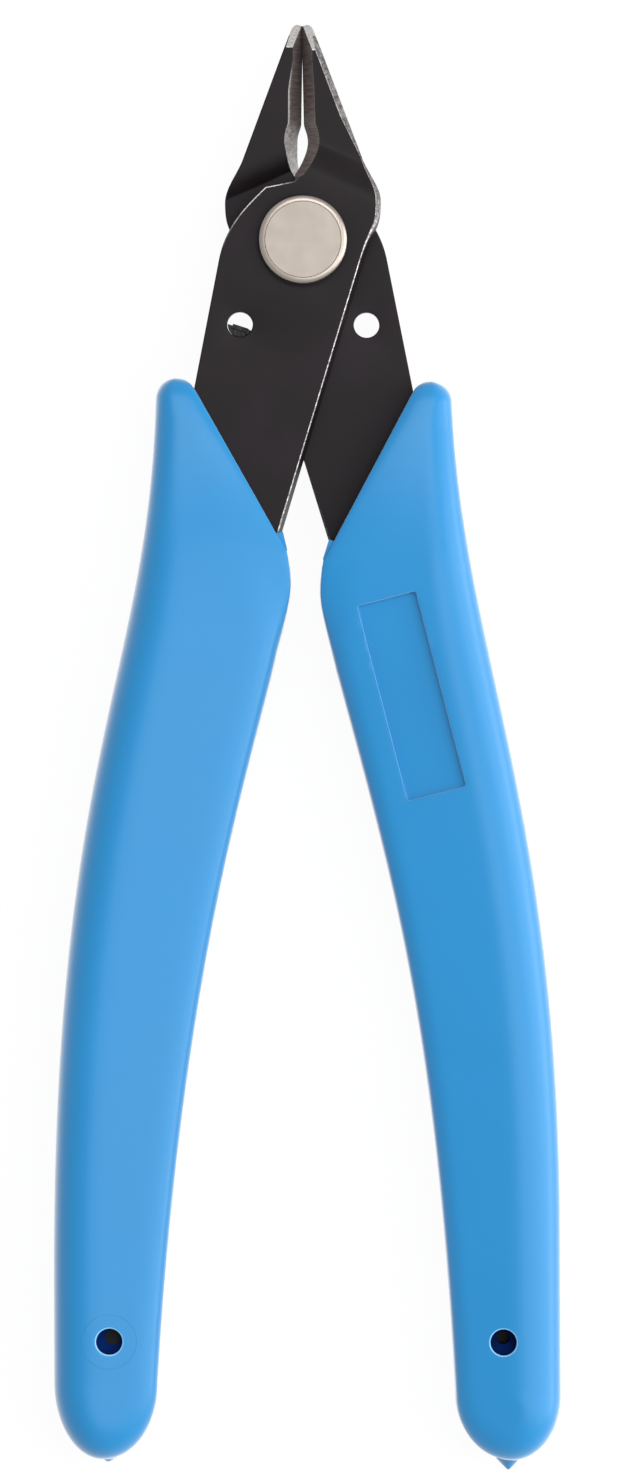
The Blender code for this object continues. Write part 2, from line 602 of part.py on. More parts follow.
def gate_stub(side):
    """Return the stub left by the mould's gate, sunk into the grip's end."""
    middle = (spread_at(inner_edge(), grip_depth(1.0)) + spread_at(outer_edge(), grip_depth(1.0))) / 2
    sunk = GATE_DIAMETER
    stub = bmesh.new()
    bmesh.ops.create_cone(
        stub, cap_ends=True, segments=ROUND_STEPS // 4, radius1=GATE_DIAMETER / 2, radius2=GATE_DIAMETER / 3,
        depth=GATE_LENGTH + sunk,
        matrix=Matrix.Translation((side * middle, -GRIP_REACH - (GATE_LENGTH - sunk) / 2, 0.0))
        @ Matrix.Rotation(math.pi / 2, 4, 'X'))
    return stub


def panel_cutter():
    """Return the shallow panel with rounded corners, tilted with the grip."""
    half_width, half_length = PANEL_WIDTH / 2 - PANEL_CORNER, PANEL_LENGTH / 2 - PANEL_CORNER
    corners = ((1, 1, 0.0), (-1, 1, math.pi / 2), (-1, -1, math.pi), (1, -1, 1.5 * math.pi))
    outline = []
    for across, along, start in corners:
        outline += quarter_arc(PANEL_CORNER, (across * half_width, along * half_length), start)
    floor, top = MID_Z - PANEL_DEPTH, MID_Z + PANEL_DEPTH
    cutter = loft([[(x, y, height) for x, y in outline] for height in (floor, top)])
    inner = inner_edge()
    upper, lower = (spread_at(inner, PANEL_DROP + end * PANEL_LENGTH / 2) for end in (-1, 1))
    tilt = math.atan2(lower - upper, PANEL_LENGTH)
    spread = (spread_at(inner, PANEL_DROP) + spread_at(outer_edge(), PANEL_DROP)) / 2 - PANEL_OFFSET
    cutter.transform(Matrix.Translation((spread, -PANEL_DROP, 0.0)) @ Matrix.Rotation(tilt, 4, 'Z'))
    return cutter


def make_grip(name, side, parent, material, extra_cutters=()):
    """Model one moulded grip: lofted body, gate stub, tang pocket and the stepped holes near its end."""
    body = loft([grip_section(*station, side) for station in grip_stations()])
    grip = make_object(name, body, parent, material)
    combine(grip, make_tool(name + '_gate', gate_stub(side), parent), 'UNION')
    combine(grip, make_tool(name + '_pocket', pocket(side), parent))
    middle = (spread_at(inner_edge(), PIN_HOLE_DROP) + spread_at(outer_edge(), PIN_HOLE_DROP)) / 2
    place = (side * middle, -PIN_HOLE_DROP)
    for face in (FRONT, REAR):
        floor, top = sorted((face * (MID_Z - PIN_HOLE_DEPTH), face * (MID_Z + PIN_HOLE_DEPTH)))
        wide = cylinder(PIN_HOLE_DIAMETER / 2, floor, top, place, ROUND_STEPS // 2)
        combine(grip, make_tool(f'{name}_hole_{face}', wide, parent))
    narrow = cylinder(PIN_BORE_DIAMETER / 2, -MID_Z, MID_Z, place, ROUND_STEPS // 4)
    combine(grip, make_tool(name + '_bore', narrow, parent))
    for cutter in extra_cutters:
        combine(grip, cutter)
    settle(grip)


def main():
    """Build the cutter closed, with both halves hung on empties at the pivot."""
    clear_scene()
    halves = {}
    for name in ('front_half', 'rear_half'):
        empty = bpy.data.objects.new(name, None)
        empty.location = (0.0, PIVOT_Y, MID_Z)
        bpy.context.collection.objects.link(empty)
        halves[name] = empty
    front, rear = halves['front_half'], halves['rear_half']
    through = 2 * HALF_STACK
    bore = make_tool(
        'rivet_bore', cylinder(SHANK_DIAMETER / 2 + SHANK_CLEARANCE, -through, through, (0.0, 0.0)), front)
    for name, side, parent in (('front_blade', FRONT, front), ('rear_blade', REAR, rear)):
        place = (-side * hole_spread(), -HOLE_DROP)
        hole = make_tool(
            name + '_hole', cylinder(HOLE_DIAMETER / 2, -through, through, place, ROUND_STEPS // 2), parent)
        make_blade(name, side, parent, make_material(name, BLACK_OXIDE), bore, hole)
    make_rivet('pivot_rivet', front, make_material('pivot_rivet', NICKEL))
    make_spring('return_spring', front, make_material('return_spring', BLUED_STRIP))
    make_grip('left_grip', -1, front, make_material('left_grip', BLUE_RUBBER))
    panel = make_tool('right_grip_panel', panel_cutter(), rear)
    make_grip('right_grip', 1, rear, make_material('right_grip', BLUE_RUBBER), [panel])


main()
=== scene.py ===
"""Looks of the flush cutter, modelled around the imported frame.

Lengths are metres. Every piece is worked out from the pivot: spread across the tool from its centre
line, depth along it towards the grips, and height from the plane in which the two plates meet.
"""
from __future__ import annotations

import json
import logging
import math
from dataclasses import astuple, dataclass
from enum import Enum
from typing import Any, Sequence

import bmesh
import bpy
import numpy as np
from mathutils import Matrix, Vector
from mathutils.geometry import delaunay_2d_cdt

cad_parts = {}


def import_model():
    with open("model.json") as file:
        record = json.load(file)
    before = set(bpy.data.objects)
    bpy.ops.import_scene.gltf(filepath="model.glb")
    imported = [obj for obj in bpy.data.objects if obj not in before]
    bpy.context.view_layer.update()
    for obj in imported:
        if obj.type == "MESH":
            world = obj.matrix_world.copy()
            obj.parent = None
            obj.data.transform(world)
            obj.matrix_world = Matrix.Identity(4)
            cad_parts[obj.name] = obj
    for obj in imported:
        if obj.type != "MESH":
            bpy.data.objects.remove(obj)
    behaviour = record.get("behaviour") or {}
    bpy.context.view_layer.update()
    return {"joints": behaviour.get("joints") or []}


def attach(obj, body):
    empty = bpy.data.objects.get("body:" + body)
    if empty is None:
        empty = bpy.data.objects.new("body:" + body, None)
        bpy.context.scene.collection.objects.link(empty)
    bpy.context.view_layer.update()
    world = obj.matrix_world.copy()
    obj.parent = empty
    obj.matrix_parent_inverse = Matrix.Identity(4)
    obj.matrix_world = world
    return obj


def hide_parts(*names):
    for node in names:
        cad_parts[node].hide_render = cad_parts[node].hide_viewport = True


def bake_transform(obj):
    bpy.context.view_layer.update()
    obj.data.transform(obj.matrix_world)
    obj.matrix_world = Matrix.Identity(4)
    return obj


Array = np.ndarray
Pair = tuple[float, float]
Colour = tuple[float, float, float]

MM = 0.001
TURN = 2.0 * math.pi
QUARTER = TURN / 4
# The stack of the two plates, which every piece is set against.
PLATE = 2.0 * MM
PLATE_GAP = 0.2 * MM
HALF_STACK = PLATE + PLATE_GAP / 2
# Points closer than this become one, and a triangulation tells points apart down to the finer one.
WELD = 0.8e-6
CDT_EPSILON = 1e-10
# Keeps a division away from nothing.
TINY = 1e-6
# Edges that turn by more than this stay sharp.
CREASE = math.radians(32)
# Power of a rounding that starts without a jump in its curvature.
SOFT_POWER = 3.0
WHITE = (1.0, 1.0, 1.0, 1.0)
# On steel the marks say how bare and how ground the metal is; on a grip 'bare' places painted shade inside
# the hole and 'ground' a painted highlight on its rim.
MARKS = ("bare", "ground")

log = logging.getLogger("flush_cutter")


class Side(Enum):
    """The handle that a grip sits on, as the sign of its spread."""

    LEFT = -1
    RIGHT = 1


class Layer(Enum):
    """The plate that lies in front, with its handle to the left, and the one behind it."""

    FRONT = 1
    REAR = -1


# Surfaces


def smoothstep(low: float, high: float, value: Array | float) -> Array:
    """Rise from 0 at low to 1 at high along 3t^2 - 2t^3.

    Args:
        low: value at which the rise starts.
        high: value at which it ends, which may be the smaller one.
        value: values to look up.

    Returns:
        Shares from 0 to 1.
    """
    t = np.clip((np.asarray(value, float) - low) / (high - low), 0.0, 1.0)
    return t * t * (3.0 - 2.0 * t)


def rounding(distance: Array, width: Array | float, power: Array | float = SOFT_POWER) -> Array:
    """Tell how far a softly rounded edge has fallen: 1 - sqrt(1 - u^p) with u = 1 - distance / width.

    A power of 2 is a quarter ellipse, and 3 lets the curve start without a jump in its curvature.

    Args:
        distance: distance from the edge.
        width: width of the rounded strip.
        power: how late the curve starts to fall.

    Returns:
        Shares of the strip's whole fall, which are nothing from one width inwards.
    """
    u = 1.0 - np.clip(distance / width, 0.0, 1.0)
    return 1.0 - np.sqrt(1.0 - u ** power)


def bezier(knots: Sequence[Pair], count: int, last: bool = False) -> Array:
    """Sample one cubic Bezier stretch: the Bernstein weights of t times its four knots.

    Args:
        knots: start, two handles and end.
        count: number of points.
        last: whether the end point is one of them.

    Returns:
        Points as (count, 2).
    """
    t = np.linspace(0.0, 1.0, count, endpoint=last)[:, None]
    a, b, c, d = (np.asarray(knot, float) for knot in knots)
    return (1 - t) ** 3 * a + 3 * t * (1 - t) ** 2 * b + 3 * t * t * (1 - t) * c + t ** 3 * d


def line(start: Pair, end: Pair, count: int) -> Array:
    """Sample a straight stretch without its end point.

    Args:
        start: first point.
        end: the point at which the next stretch starts.
        count: number of points.

    Returns:
        Points as (count, 2).
    """
    t = np.linspace(0.0, 1.0, count, endpoint=False)[:, None]
    return np.asarray(start) + t * (np.asarray(end) - np.asarray(start))


def quarter_turn(count: int) -> Array:
    """Return angles from nothing to a quarter turn."""
    return np.linspace(0.0, QUARTER, count)


def full_turn(count: int) -> Array:
    """Return angles once round, without the one that repeats the first."""
    return np.linspace(0.0, TURN, count, endpoint=False)


def oblong(count: int) -> tuple[Array, Array]:
    """Go once round a rounded oblong, corner by corner.

    Args:
        count: number of points on each corner.

    Returns:
        The sides that each point lies on, as the signs of x and y, and its angle on its corner.
    """
    angle = np.concatenate([quarter_turn(count) + number * QUARTER for number in range(4)])
    return np.repeat([(1, 1), (-1, 1), (-1, -1), (1, -1)], count, axis=0), angle


def at_level(outline: Array, level: float) -> Array:
    """Add one height to the points of an outline, or to the radii of a profile."""
    return np.column_stack([outline, np.full(len(outline), level)])


def unit(vectors: Array) -> Array:
    """Scale each row to a length of 1."""
    return vectors / np.linalg.norm(vectors, axis=1, keepdims=True)


def ring_faces(rows: int, columns: int) -> Array:
    """Number the quads of a grid whose points run row by row and whose rows close on themselves.

    Args:
        rows: number of rows.
        columns: number of points in a row.

    Returns:
        Point numbers as (quads, 4).
    """
    index = np.arange(rows * columns).reshape(rows, columns)
    index = np.concatenate([index, index[:, :1]], axis=1)
    corners = [index[:-1, :-1], index[:-1, 1:], index[1:, 1:], index[1:, :-1]]
    return np.stack(corners, axis=-1).reshape(-1, 4)


@dataclass
class Shell:
    """A surface as arrays: points, faces, and marks that say how bare and how ground each point is; on a grip
    they place painted shade and a painted highlight at its hole.
    """

    points: Array
    faces: list[Array]
    marks: Array

    @classmethod
    def from_grid(cls, grid: Array, marks: Array | Pair = (0.0, 0.0)) -> "Shell":
        """Make a surface of a grid of points whose rows are rings.

        Args:
            grid: points as (rows, columns, 3).
            marks: one pair of marks, or one for each point.

        Returns:
            The surface.
        """
        rows, columns = grid.shape[:2]
        values = np.broadcast_to(marks, (rows, columns, len(MARKS))).reshape(-1, len(MARKS))
        return cls(grid.reshape(-1, 3), [ring_faces(rows, columns)], values)

    def __add__(self, other: "Shell") -> "Shell":
        """Join two surfaces, renumbering the faces of the second one.

        Args:
            other: the surface that is added.

        Returns:
            Both surfaces as one.
        """
        moved = [block + len(self.points) for block in other.faces]
        return Shell(np.concatenate([self.points, other.points]), self.faces + moved,
                     np.concatenate([self.marks, other.marks]))

    def build(self, name: str) -> bpy.types.Object:
        """Weld the surface, turn its faces outwards and link it as an object.

        Args:
            name: name of the object.

        Returns:
            The object, at the origin.
        """
        mesh = bpy.data.meshes.new(name)
        faces = sum((block.tolist() for block in self.faces), [])
        mesh.from_pydata(self.points.tolist(), [], faces)
        for number, mark in enumerate(MARKS):
            values = np.ascontiguousarray(self.marks[:, number], np.float32)
            mesh.attributes.new(mark, "FLOAT", "POINT").data.foreach_set("value", values)
        solid = bmesh.new()
        solid.from_mesh(mesh)
        bmesh.ops.remove_doubles(solid, verts=solid.verts, dist=WELD)
        bmesh.ops.dissolve_degenerate(solid, dist=WELD, edges=solid.edges)
        bmesh.ops.recalc_face_normals(solid, faces=solid.faces)
        solid.to_mesh(mesh)
        solid.free()
        thing = linked(name, mesh)
        shade(thing)
        return thing


def linked(name: str, data: bpy.types.ID) -> bpy.types.Object:
    """Make an object of a mesh, lamp or camera and link it to the scene.

    Args:
        name: name of the object.
        data: what the object shows.

    Returns:
        The object, at the origin.
    """
    thing = bpy.data.objects.new(name, data)
    bpy.context.scene.collection.objects.link(thing)
    return thing


def shade(thing: bpy.types.Object) -> None:
    """Shade an object smooth between its creases."""
    thing.data.shade_smooth()
    thing.data.set_sharp_from_angle(angle=CREASE)


def apply(thing: bpy.types.Object) -> None:
    """Turn an object's modifiers into its mesh.

    Args:
        thing: the object that changes.
    """
    graph = bpy.context.evaluated_depsgraph_get()
    mesh = bpy.data.meshes.new_from_object(thing.evaluated_get(graph))
    thing.modifiers.clear()
    thing.data = mesh


def lathe(profile: Array, place: Array, steps: int = 64, ring: bool = False) -> Shell:
    """Turn a profile about an upright axis: (r cos a, r sin a, h) for every angle a.

    Args:
        profile: (radius, height) points.
        place: foot of the axis.
        steps: points round the axis.
        ring: whether the profile closes on itself.

    Returns:
        The turned surface.
    """
    rows = np.concatenate([profile, profile[:1]]) if ring else profile
    angles = full_turn(steps)
    radius, height = rows[:, :1], rows[:, 1:]
    grid = np.stack(np.broadcast_arrays(radius * np.cos(angles), radius * np.sin(angles), height), axis=-1)
    return Shell.from_grid(grid + place)


def capped(rings: Array) -> Shell:
    """Close a stack of rings by drawing the first and the last one together to their middles.

    Args:
        rings: points as (rings, points, 3).

    Returns:
        The closed surface.
    """
    middles = rings[[0, -1]].mean(axis=1, keepdims=True)
    ends = np.broadcast_to(middles, (2, *rings.shape[1:]))
    return Shell.from_grid(np.concatenate([ends[:1], rings, ends[1:]]))


def flat_face(loops: Sequence[Array], scattered: Array) -> tuple[Array, Array]:
    """Fill a flat outline with triangles by a constrained Delaunay triangulation.

    Args:
        loops: the outline, and the round holes in it, each as (points, 2).
        scattered: points that the triangles pass through where they lie inside.

    Returns:
        The points as (points, 2), and the triangles.
    """
    starts = np.cumsum([0] + [len(loop) for loop in loops])
    edges = [np.stack([np.arange(len(loop)), np.roll(np.arange(len(loop)), -1)], axis=1) + start
             for loop, start in zip(loops, starts)]
    inside = 1
    found = delaunay_2d_cdt(np.concatenate([*loops, scattered]).tolist(), np.concatenate(edges).tolist(),
                            [], inside, CDT_EPSILON)
    points, faces = np.array(found[0]), np.array(found[2])
    middles = points[faces].mean(axis=1)
    for hole in loops[1:]:
        centre = hole.mean(axis=0)
        kept = np.linalg.norm(middles - centre, axis=1) > np.linalg.norm(hole[0] - centre)
        faces, middles = faces[kept], middles[kept]
    used, faces = np.unique(faces, return_inverse=True)
    return points[used], faces.reshape(-1, 3)


def combine(thing: bpy.types.Object, tool: Shell, operation: str) -> None:
    """Join a shape to an object, or cut it out, and apply the result.

    Args:
        thing: the object that changes.
        tool: a closed shape.
        operation: UNION or DIFFERENCE.
    """
    other = tool.build(thing.name + "_tool")
    modifier = thing.modifiers.new("cut", "BOOLEAN")
    modifier.operation = operation
    modifier.solver = "EXACT"
    modifier.object = other
    apply(thing)
    bpy.data.objects.remove(other, do_unlink=True)


# Shader maths


class Signal:
    """A shader socket that takes part in Python arithmetic through Math nodes."""

    def __init__(self, graph: "Graph", socket: bpy.types.NodeSocket | None) -> None:
        """Keep the socket and the graph that its nodes belong to."""
        self.graph = graph
        self.socket = socket

    def _with(self, operation: str, first: Any, second: Any) -> "Signal":
        """Add one Math node."""
        return self.graph.node("Math", {"operation": operation}, {0: first, 1: second})

    def __add__(self, other: Any) -> "Signal":
        """Add."""
        return self._with("ADD", self, other)

    def __radd__(self, other: Any) -> "Signal":
        """Add, reflected."""
        return self._with("ADD", other, self)

    def __sub__(self, other: Any) -> "Signal":
        """Subtract."""
        return self._with("SUBTRACT", self, other)

    def __rsub__(self, other: Any) -> "Signal":
        """Subtract, reflected."""
        return self._with("SUBTRACT", other, self)

    def __mul__(self, other: Any) -> "Signal":
        """Multiply."""
        return self._with("MULTIPLY", self, other)

    def __rmul__(self, other: Any) -> "Signal":
        """Multiply, reflected."""
        return self._with("MULTIPLY", other, self)

    def sine(self) -> "Signal":
        """Take the sine."""
        return self._with("SINE", self, 0.0)

    def between(self, low: float, high: float) -> "Signal":
        """Rise smoothly from 0 at low to 1 at high."""
        ends = {"From Min": low, "From Max": high, "Value": self}
        return self.graph.node("MapRange", {"interpolation_type": "SMOOTHSTEP"}, ends)


class Graph:
    """The node tree of one material or world."""

    def __init__(self, owner: Any) -> None:
        """Empty the owner's node tree.

        Args:
            owner: the material or world.
        """
        owner.use_nodes = True
        self.tree = owner.node_tree
        self.tree.nodes.clear()

    def node(self, kind: str, settings: dict[str, Any] | None = None,
             inputs: dict[Any, Any] | None = None, output: Any = 0) -> Signal:
        """Add a node.

        Args:
            kind: type of the node, without its prefix.
            settings: properties, set first.
            inputs: values or links of its sockets, by name or number.
            output: the socket that is returned, or None for a node without one.

        Returns:
            That output.
        """
        node = self.tree.nodes.new("ShaderNode" + kind)
        for name, value in (settings or {}).items():
            setattr(node, name, value)
        for name, value in (inputs or {}).items():
            socket = node.inputs[name]
            if isinstance(value, Signal):
                self.tree.links.new(value.socket, socket)
            else:
                socket.default_value = value
        return Signal(self, None if output is None else node.outputs[output])

    def place(self) -> Signal:
        """Read the object's own coordinates."""
        return self.node("TexCoord", output="Object")

    def attribute(self, name: str) -> Signal:
        """Read a value that the mesh carries."""
        return self.node("Attribute", {"attribute_name": name}, output="Fac")

    def noise(self, vector: Signal, size: float, detail: float = 2.0) -> Signal:
        """Add noise with features of about a size in metres."""
        return self.node("TexNoise", None, {"Vector": vector, "Scale": 1.0 / size, "Detail": detail})

    def stretched(self, vector: Signal, scale: Colour, turn: float = 0.0) -> Signal:
        """Turn coordinates about Z, then scale them, so that a scale below 1 draws a pattern out."""
        return self.node("Mapping", None, {
            "Vector": vector, "Rotation": (0.0, 0.0, turn), "Scale": scale})

    def mix(self, share: Any, first: Any, second: Any) -> Signal:
        """Mix two colours."""
        ends = [(*end, 1.0) if isinstance(end, tuple) else end for end in (first, second)]
        return self.node("Mix", {"data_type": "RGBA"}, {0: share, 6: ends[0], 7: ends[1]}, 2)

    def bump(self, height: Signal, depth: float, strength: float = 1.0) -> Signal:
        """Turn heights from 0 to 1 into a bumped normal, with a depth in metres."""
        return self.node("Bump", None, {"Height": height, "Distance": depth, "Strength": strength})

    def seen(self) -> Signal:
        """Tell apart what is seen from what only lights the object.

        Returns:
            1 for what the camera, reflections and glass see, and 0 for what light sees.
        """
        camera, glossy, glass = (
            self.node("LightPath", output=f"Is {kind} Ray") for kind in ("Camera", "Glossy", "Transmission"))
        return camera + glossy + glass

    def surface(self, inputs: dict[str, Any]) -> None:
        """End in one Principled shader."""
        self.end(self.node("BsdfPrincipled", None, inputs))

    def end(self, shader: Signal, kind: str = "OutputMaterial") -> None:
        """Link a shader to the output."""
        self.node(kind, None, {"Surface": shader}, None)


def scaled(colour: Colour, factor: float) -> Colour:
    """Make a colour lighter or darker."""
    return tuple(channel * factor for channel in colour)


def new_material(name: str) -> tuple[bpy.types.Material, Graph]:
    """Make a material and the empty graph of its nodes."""
    material = bpy.data.materials.new(name)
    return material, Graph(material)


# Finishes


@dataclass(frozen=True)
class BlackOxide:
    """Blackened steel plate: browned where it was ground, bare where it was sheared or worn."""

    oxide: Colour = (0.0066, 0.0047, 0.0053)
    tint: Colour = (0.0090, 0.0058, 0.0084)
    browned: Colour = (0.112, 0.090, 0.086)
    steel: Colour = (0.56, 0.54, 0.525)
    cloud_size: float = 7.0 * MM
    grain_size: float = 0.13 * MM
    pit_size: float = 0.42 * MM
    stroke_size: float = 0.10 * MM
    stroke_scale: Colour = (0.07, 1.0, 0.07)
    stroke_turn: float = 0.05
    stroke_shades: Pair = (0.62, 1.35)
    bright_shade: float = 0.66
    roughness: float = 0.46
    relief_depth: float = 0.005 * MM

    def material(self, name: str) -> bpy.types.Material:
        """Make the material: the mesh's marks, broken up by grain, bring the steel out.

        Args:
            name: name of the material.

        Returns:
            The material.
        """
        material, graph = new_material(name)
        place = graph.place()
        cloud = graph.noise(place, self.cloud_size, 3.0)
        grain = graph.noise(place, self.grain_size, 2.0)
        pits = graph.noise(place, self.pit_size, 3.0)
        drawn_out = graph.stretched(place, self.stroke_scale, self.stroke_turn)
        strokes = graph.noise(drawn_out, self.stroke_size, 3.0)
        worn, ground = (graph.attribute(mark) for mark in MARKS)
        broken = worn * (1.2 + (pits - 0.5) * 1.9 + (grain - 0.5) * 1.3)
        bare = broken.between(0.06, 1.02)
        black = graph.mix(cloud.between(0.35, 0.70), self.oxide, self.tint)
        dark, painted_highlight = (scaled(self.browned, factor) for factor in self.stroke_shades)
        striped = graph.mix(strokes.between(0.32, 0.68), dark, painted_highlight)
        bright = graph.mix(grain.between(0.30, 0.70), scaled(self.steel, self.bright_shade), self.steel)
        relief = grain * 0.5 + pits * 0.5 + strokes * ground * 1.6 + bare * grain * 1.5
        graph.surface({
            "Base Color": graph.mix(bare, graph.mix(ground, black, striped), bright),
            "Metallic": bare * 0.85,
            "Roughness": self.roughness + (cloud - 0.5) * 0.10 + (grain - 0.5) * 0.10 - bare * 0.06,
            "Specular IOR Level": 0.13,
            "Normal": graph.bump(relief, self.relief_depth, 0.7),
        })
        return material


@dataclass(frozen=True)
class Nickel:
    """Nickel-plated rivet: satin, with the faint rings of its turning."""

    colour: Colour = (0.535, 0.475, 0.420)
    flat_shade: float = 0.95
    # Painted shade: the rim's colour is darkened by this factor to dim its highlight.
    rim_painted_shade: float = 0.55
    rim_blend: float = 0.06 * MM
    ring_pitch: float = 0.11 * MM
    cloud_size: float = 1.6 * MM
    fine_size: float = 0.09 * MM
    roughness: float = 0.13
    relief_depth: float = 0.001 * MM

    def material(self, name: str, middle: Array, face: float) -> bpy.types.Material:
        """Make the material, rougher round the rim, whose colour is darker there as painted shade that dims
        its highlight.

        Args:
            name: name of the material.
            middle: point on the axis of the rivet.
            face: radius of the flat face.

        Returns:
            The material.
        """
        material, graph = new_material(name)
        place = graph.place()
        centred = graph.node("VectorMath", {"operation": "MULTIPLY_ADD"}, {
            0: place, 1: (1.0, 1.0, 0.0), 2: tuple(-middle * (1.0, 1.0, 0.0))})
        radius = graph.node("VectorMath", {"operation": "LENGTH"}, {0: centred}, "Value")
        rings = (radius * (TURN / self.ring_pitch)).sine() * 0.5 + 0.5
        cloud = graph.noise(place, self.cloud_size, 4.0)
        fine = graph.noise(place, self.fine_size, 2.0)
        flat = graph.mix(cloud.between(0.3, 0.7), scaled(self.colour, self.flat_shade), self.colour)
        rim = radius.between(face, face + self.rim_blend)
        graph.surface({
            # The rim's darker colour is painted shade.
            "Base Color": graph.mix(rim, flat, scaled(self.colour, self.rim_painted_shade)),
            "Metallic": 1.0,
            "Roughness": self.roughness + (cloud - 0.5) * 0.06 + (fine - 0.5) * 0.05 + rim * 0.22,
            "Normal": graph.bump(rings * 0.35 + fine * 0.65, self.relief_depth, 0.4),
        })
        return material


@dataclass(frozen=True)
class BluedStrip:
    """Blued spring strip with a drawn grain along its length."""

    colour: Colour = (0.006, 0.006, 0.007)
    shine: Colour = (0.030, 0.030, 0.034)
    grain_size: float = 0.10 * MM
    grain_scale: Colour = (1.0, 0.1, 1.0)
    roughness: float = 0.34
    relief_depth: float = 0.003 * MM

    def material(self, name: str) -> bpy.types.Material:
        """Make the material.

        Args:
            name: name of the material.

        Returns:
            The material.
        """
        material, graph = new_material(name)
        drawn = graph.noise(graph.stretched(graph.place(), self.grain_scale), self.grain_size, 3.0)
        graph.surface({
            "Base Color": graph.mix(drawn.between(0.3, 0.75), self.colour, self.shine),
            "Metallic": 0.5,
            "Roughness": self.roughness + drawn * 0.16,
            "Specular IOR Level": 0.15,
            "Normal": graph.bump(drawn, self.relief_depth, 0.6),
        })
        return material


@dataclass(frozen=True)
class GripRubber:
    """Moulded blue rubber: satin skin with a soft orange peel, a painted highlight on the holes' rims and
    painted shade inside them.
    """

    colour: Colour = (0.003, 0.182, 0.424)
    deep: Colour = (0.003, 0.176, 0.410)
    # Painted highlight on the holes' rims.
    painted_highlight: Colour = (0.16, 0.42, 0.70)
    # Painted shade inside the holes.
    painted_hole_shade: Colour = (0.0008, 0.020, 0.130)
    cloud_size: float = 16.0 * MM
    peel_size: float = 0.45 * MM
    skin_size: float = 0.07 * MM
    roughness: float = 0.33
    hollow_roughness: float = 0.8
    relief_depth: float = 0.003 * MM

    def material(self, name: str) -> bpy.types.Material:
        """Make the material.

        Args:
            name: name of the material.

        Returns:
            The material.
        """
        material, graph = new_material(name)
        place = graph.place()
        cloud = graph.noise(place, self.cloud_size, 2.0)
        peel = graph.noise(place, self.peel_size, 2.0)
        skin = graph.noise(place, self.skin_size, 2.0)
        # 'bare' places the painted shade inside the holes, 'ground' the painted highlight on their rims.
        bare, painted_rim_highlight = (graph.attribute(mark) for mark in MARKS)
        blue = graph.mix(cloud.between(0.3, 0.7), self.deep, self.colour)
        outside = graph.node("BsdfPrincipled", None, {
            "Base Color": graph.mix(painted_rim_highlight, blue, self.painted_highlight),
            "Roughness": self.roughness + (cloud - 0.5) * 0.05 + (skin - 0.5) * 0.08,
            "Specular IOR Level": 0.26,
            "Sheen Weight": 1.0,
            "Sheen Roughness": 0.44,
            "Normal": graph.bump(peel * 0.4 + skin * 0.6, self.relief_depth, 0.4),
        })
        # A dark, dull shader paints the shade inside the holes where the 'bare' mark is.
        inside = graph.node("BsdfPrincipled", None, {
            "Base Color": (*self.painted_hole_shade, 1.0), "Roughness": self.hollow_roughness,
            "Specular IOR Level": 0.05})
        graph.end(graph.node("MixShader", None, {0: bare, 1: outside, 2: inside}))
        return material


# Sub-assemblies


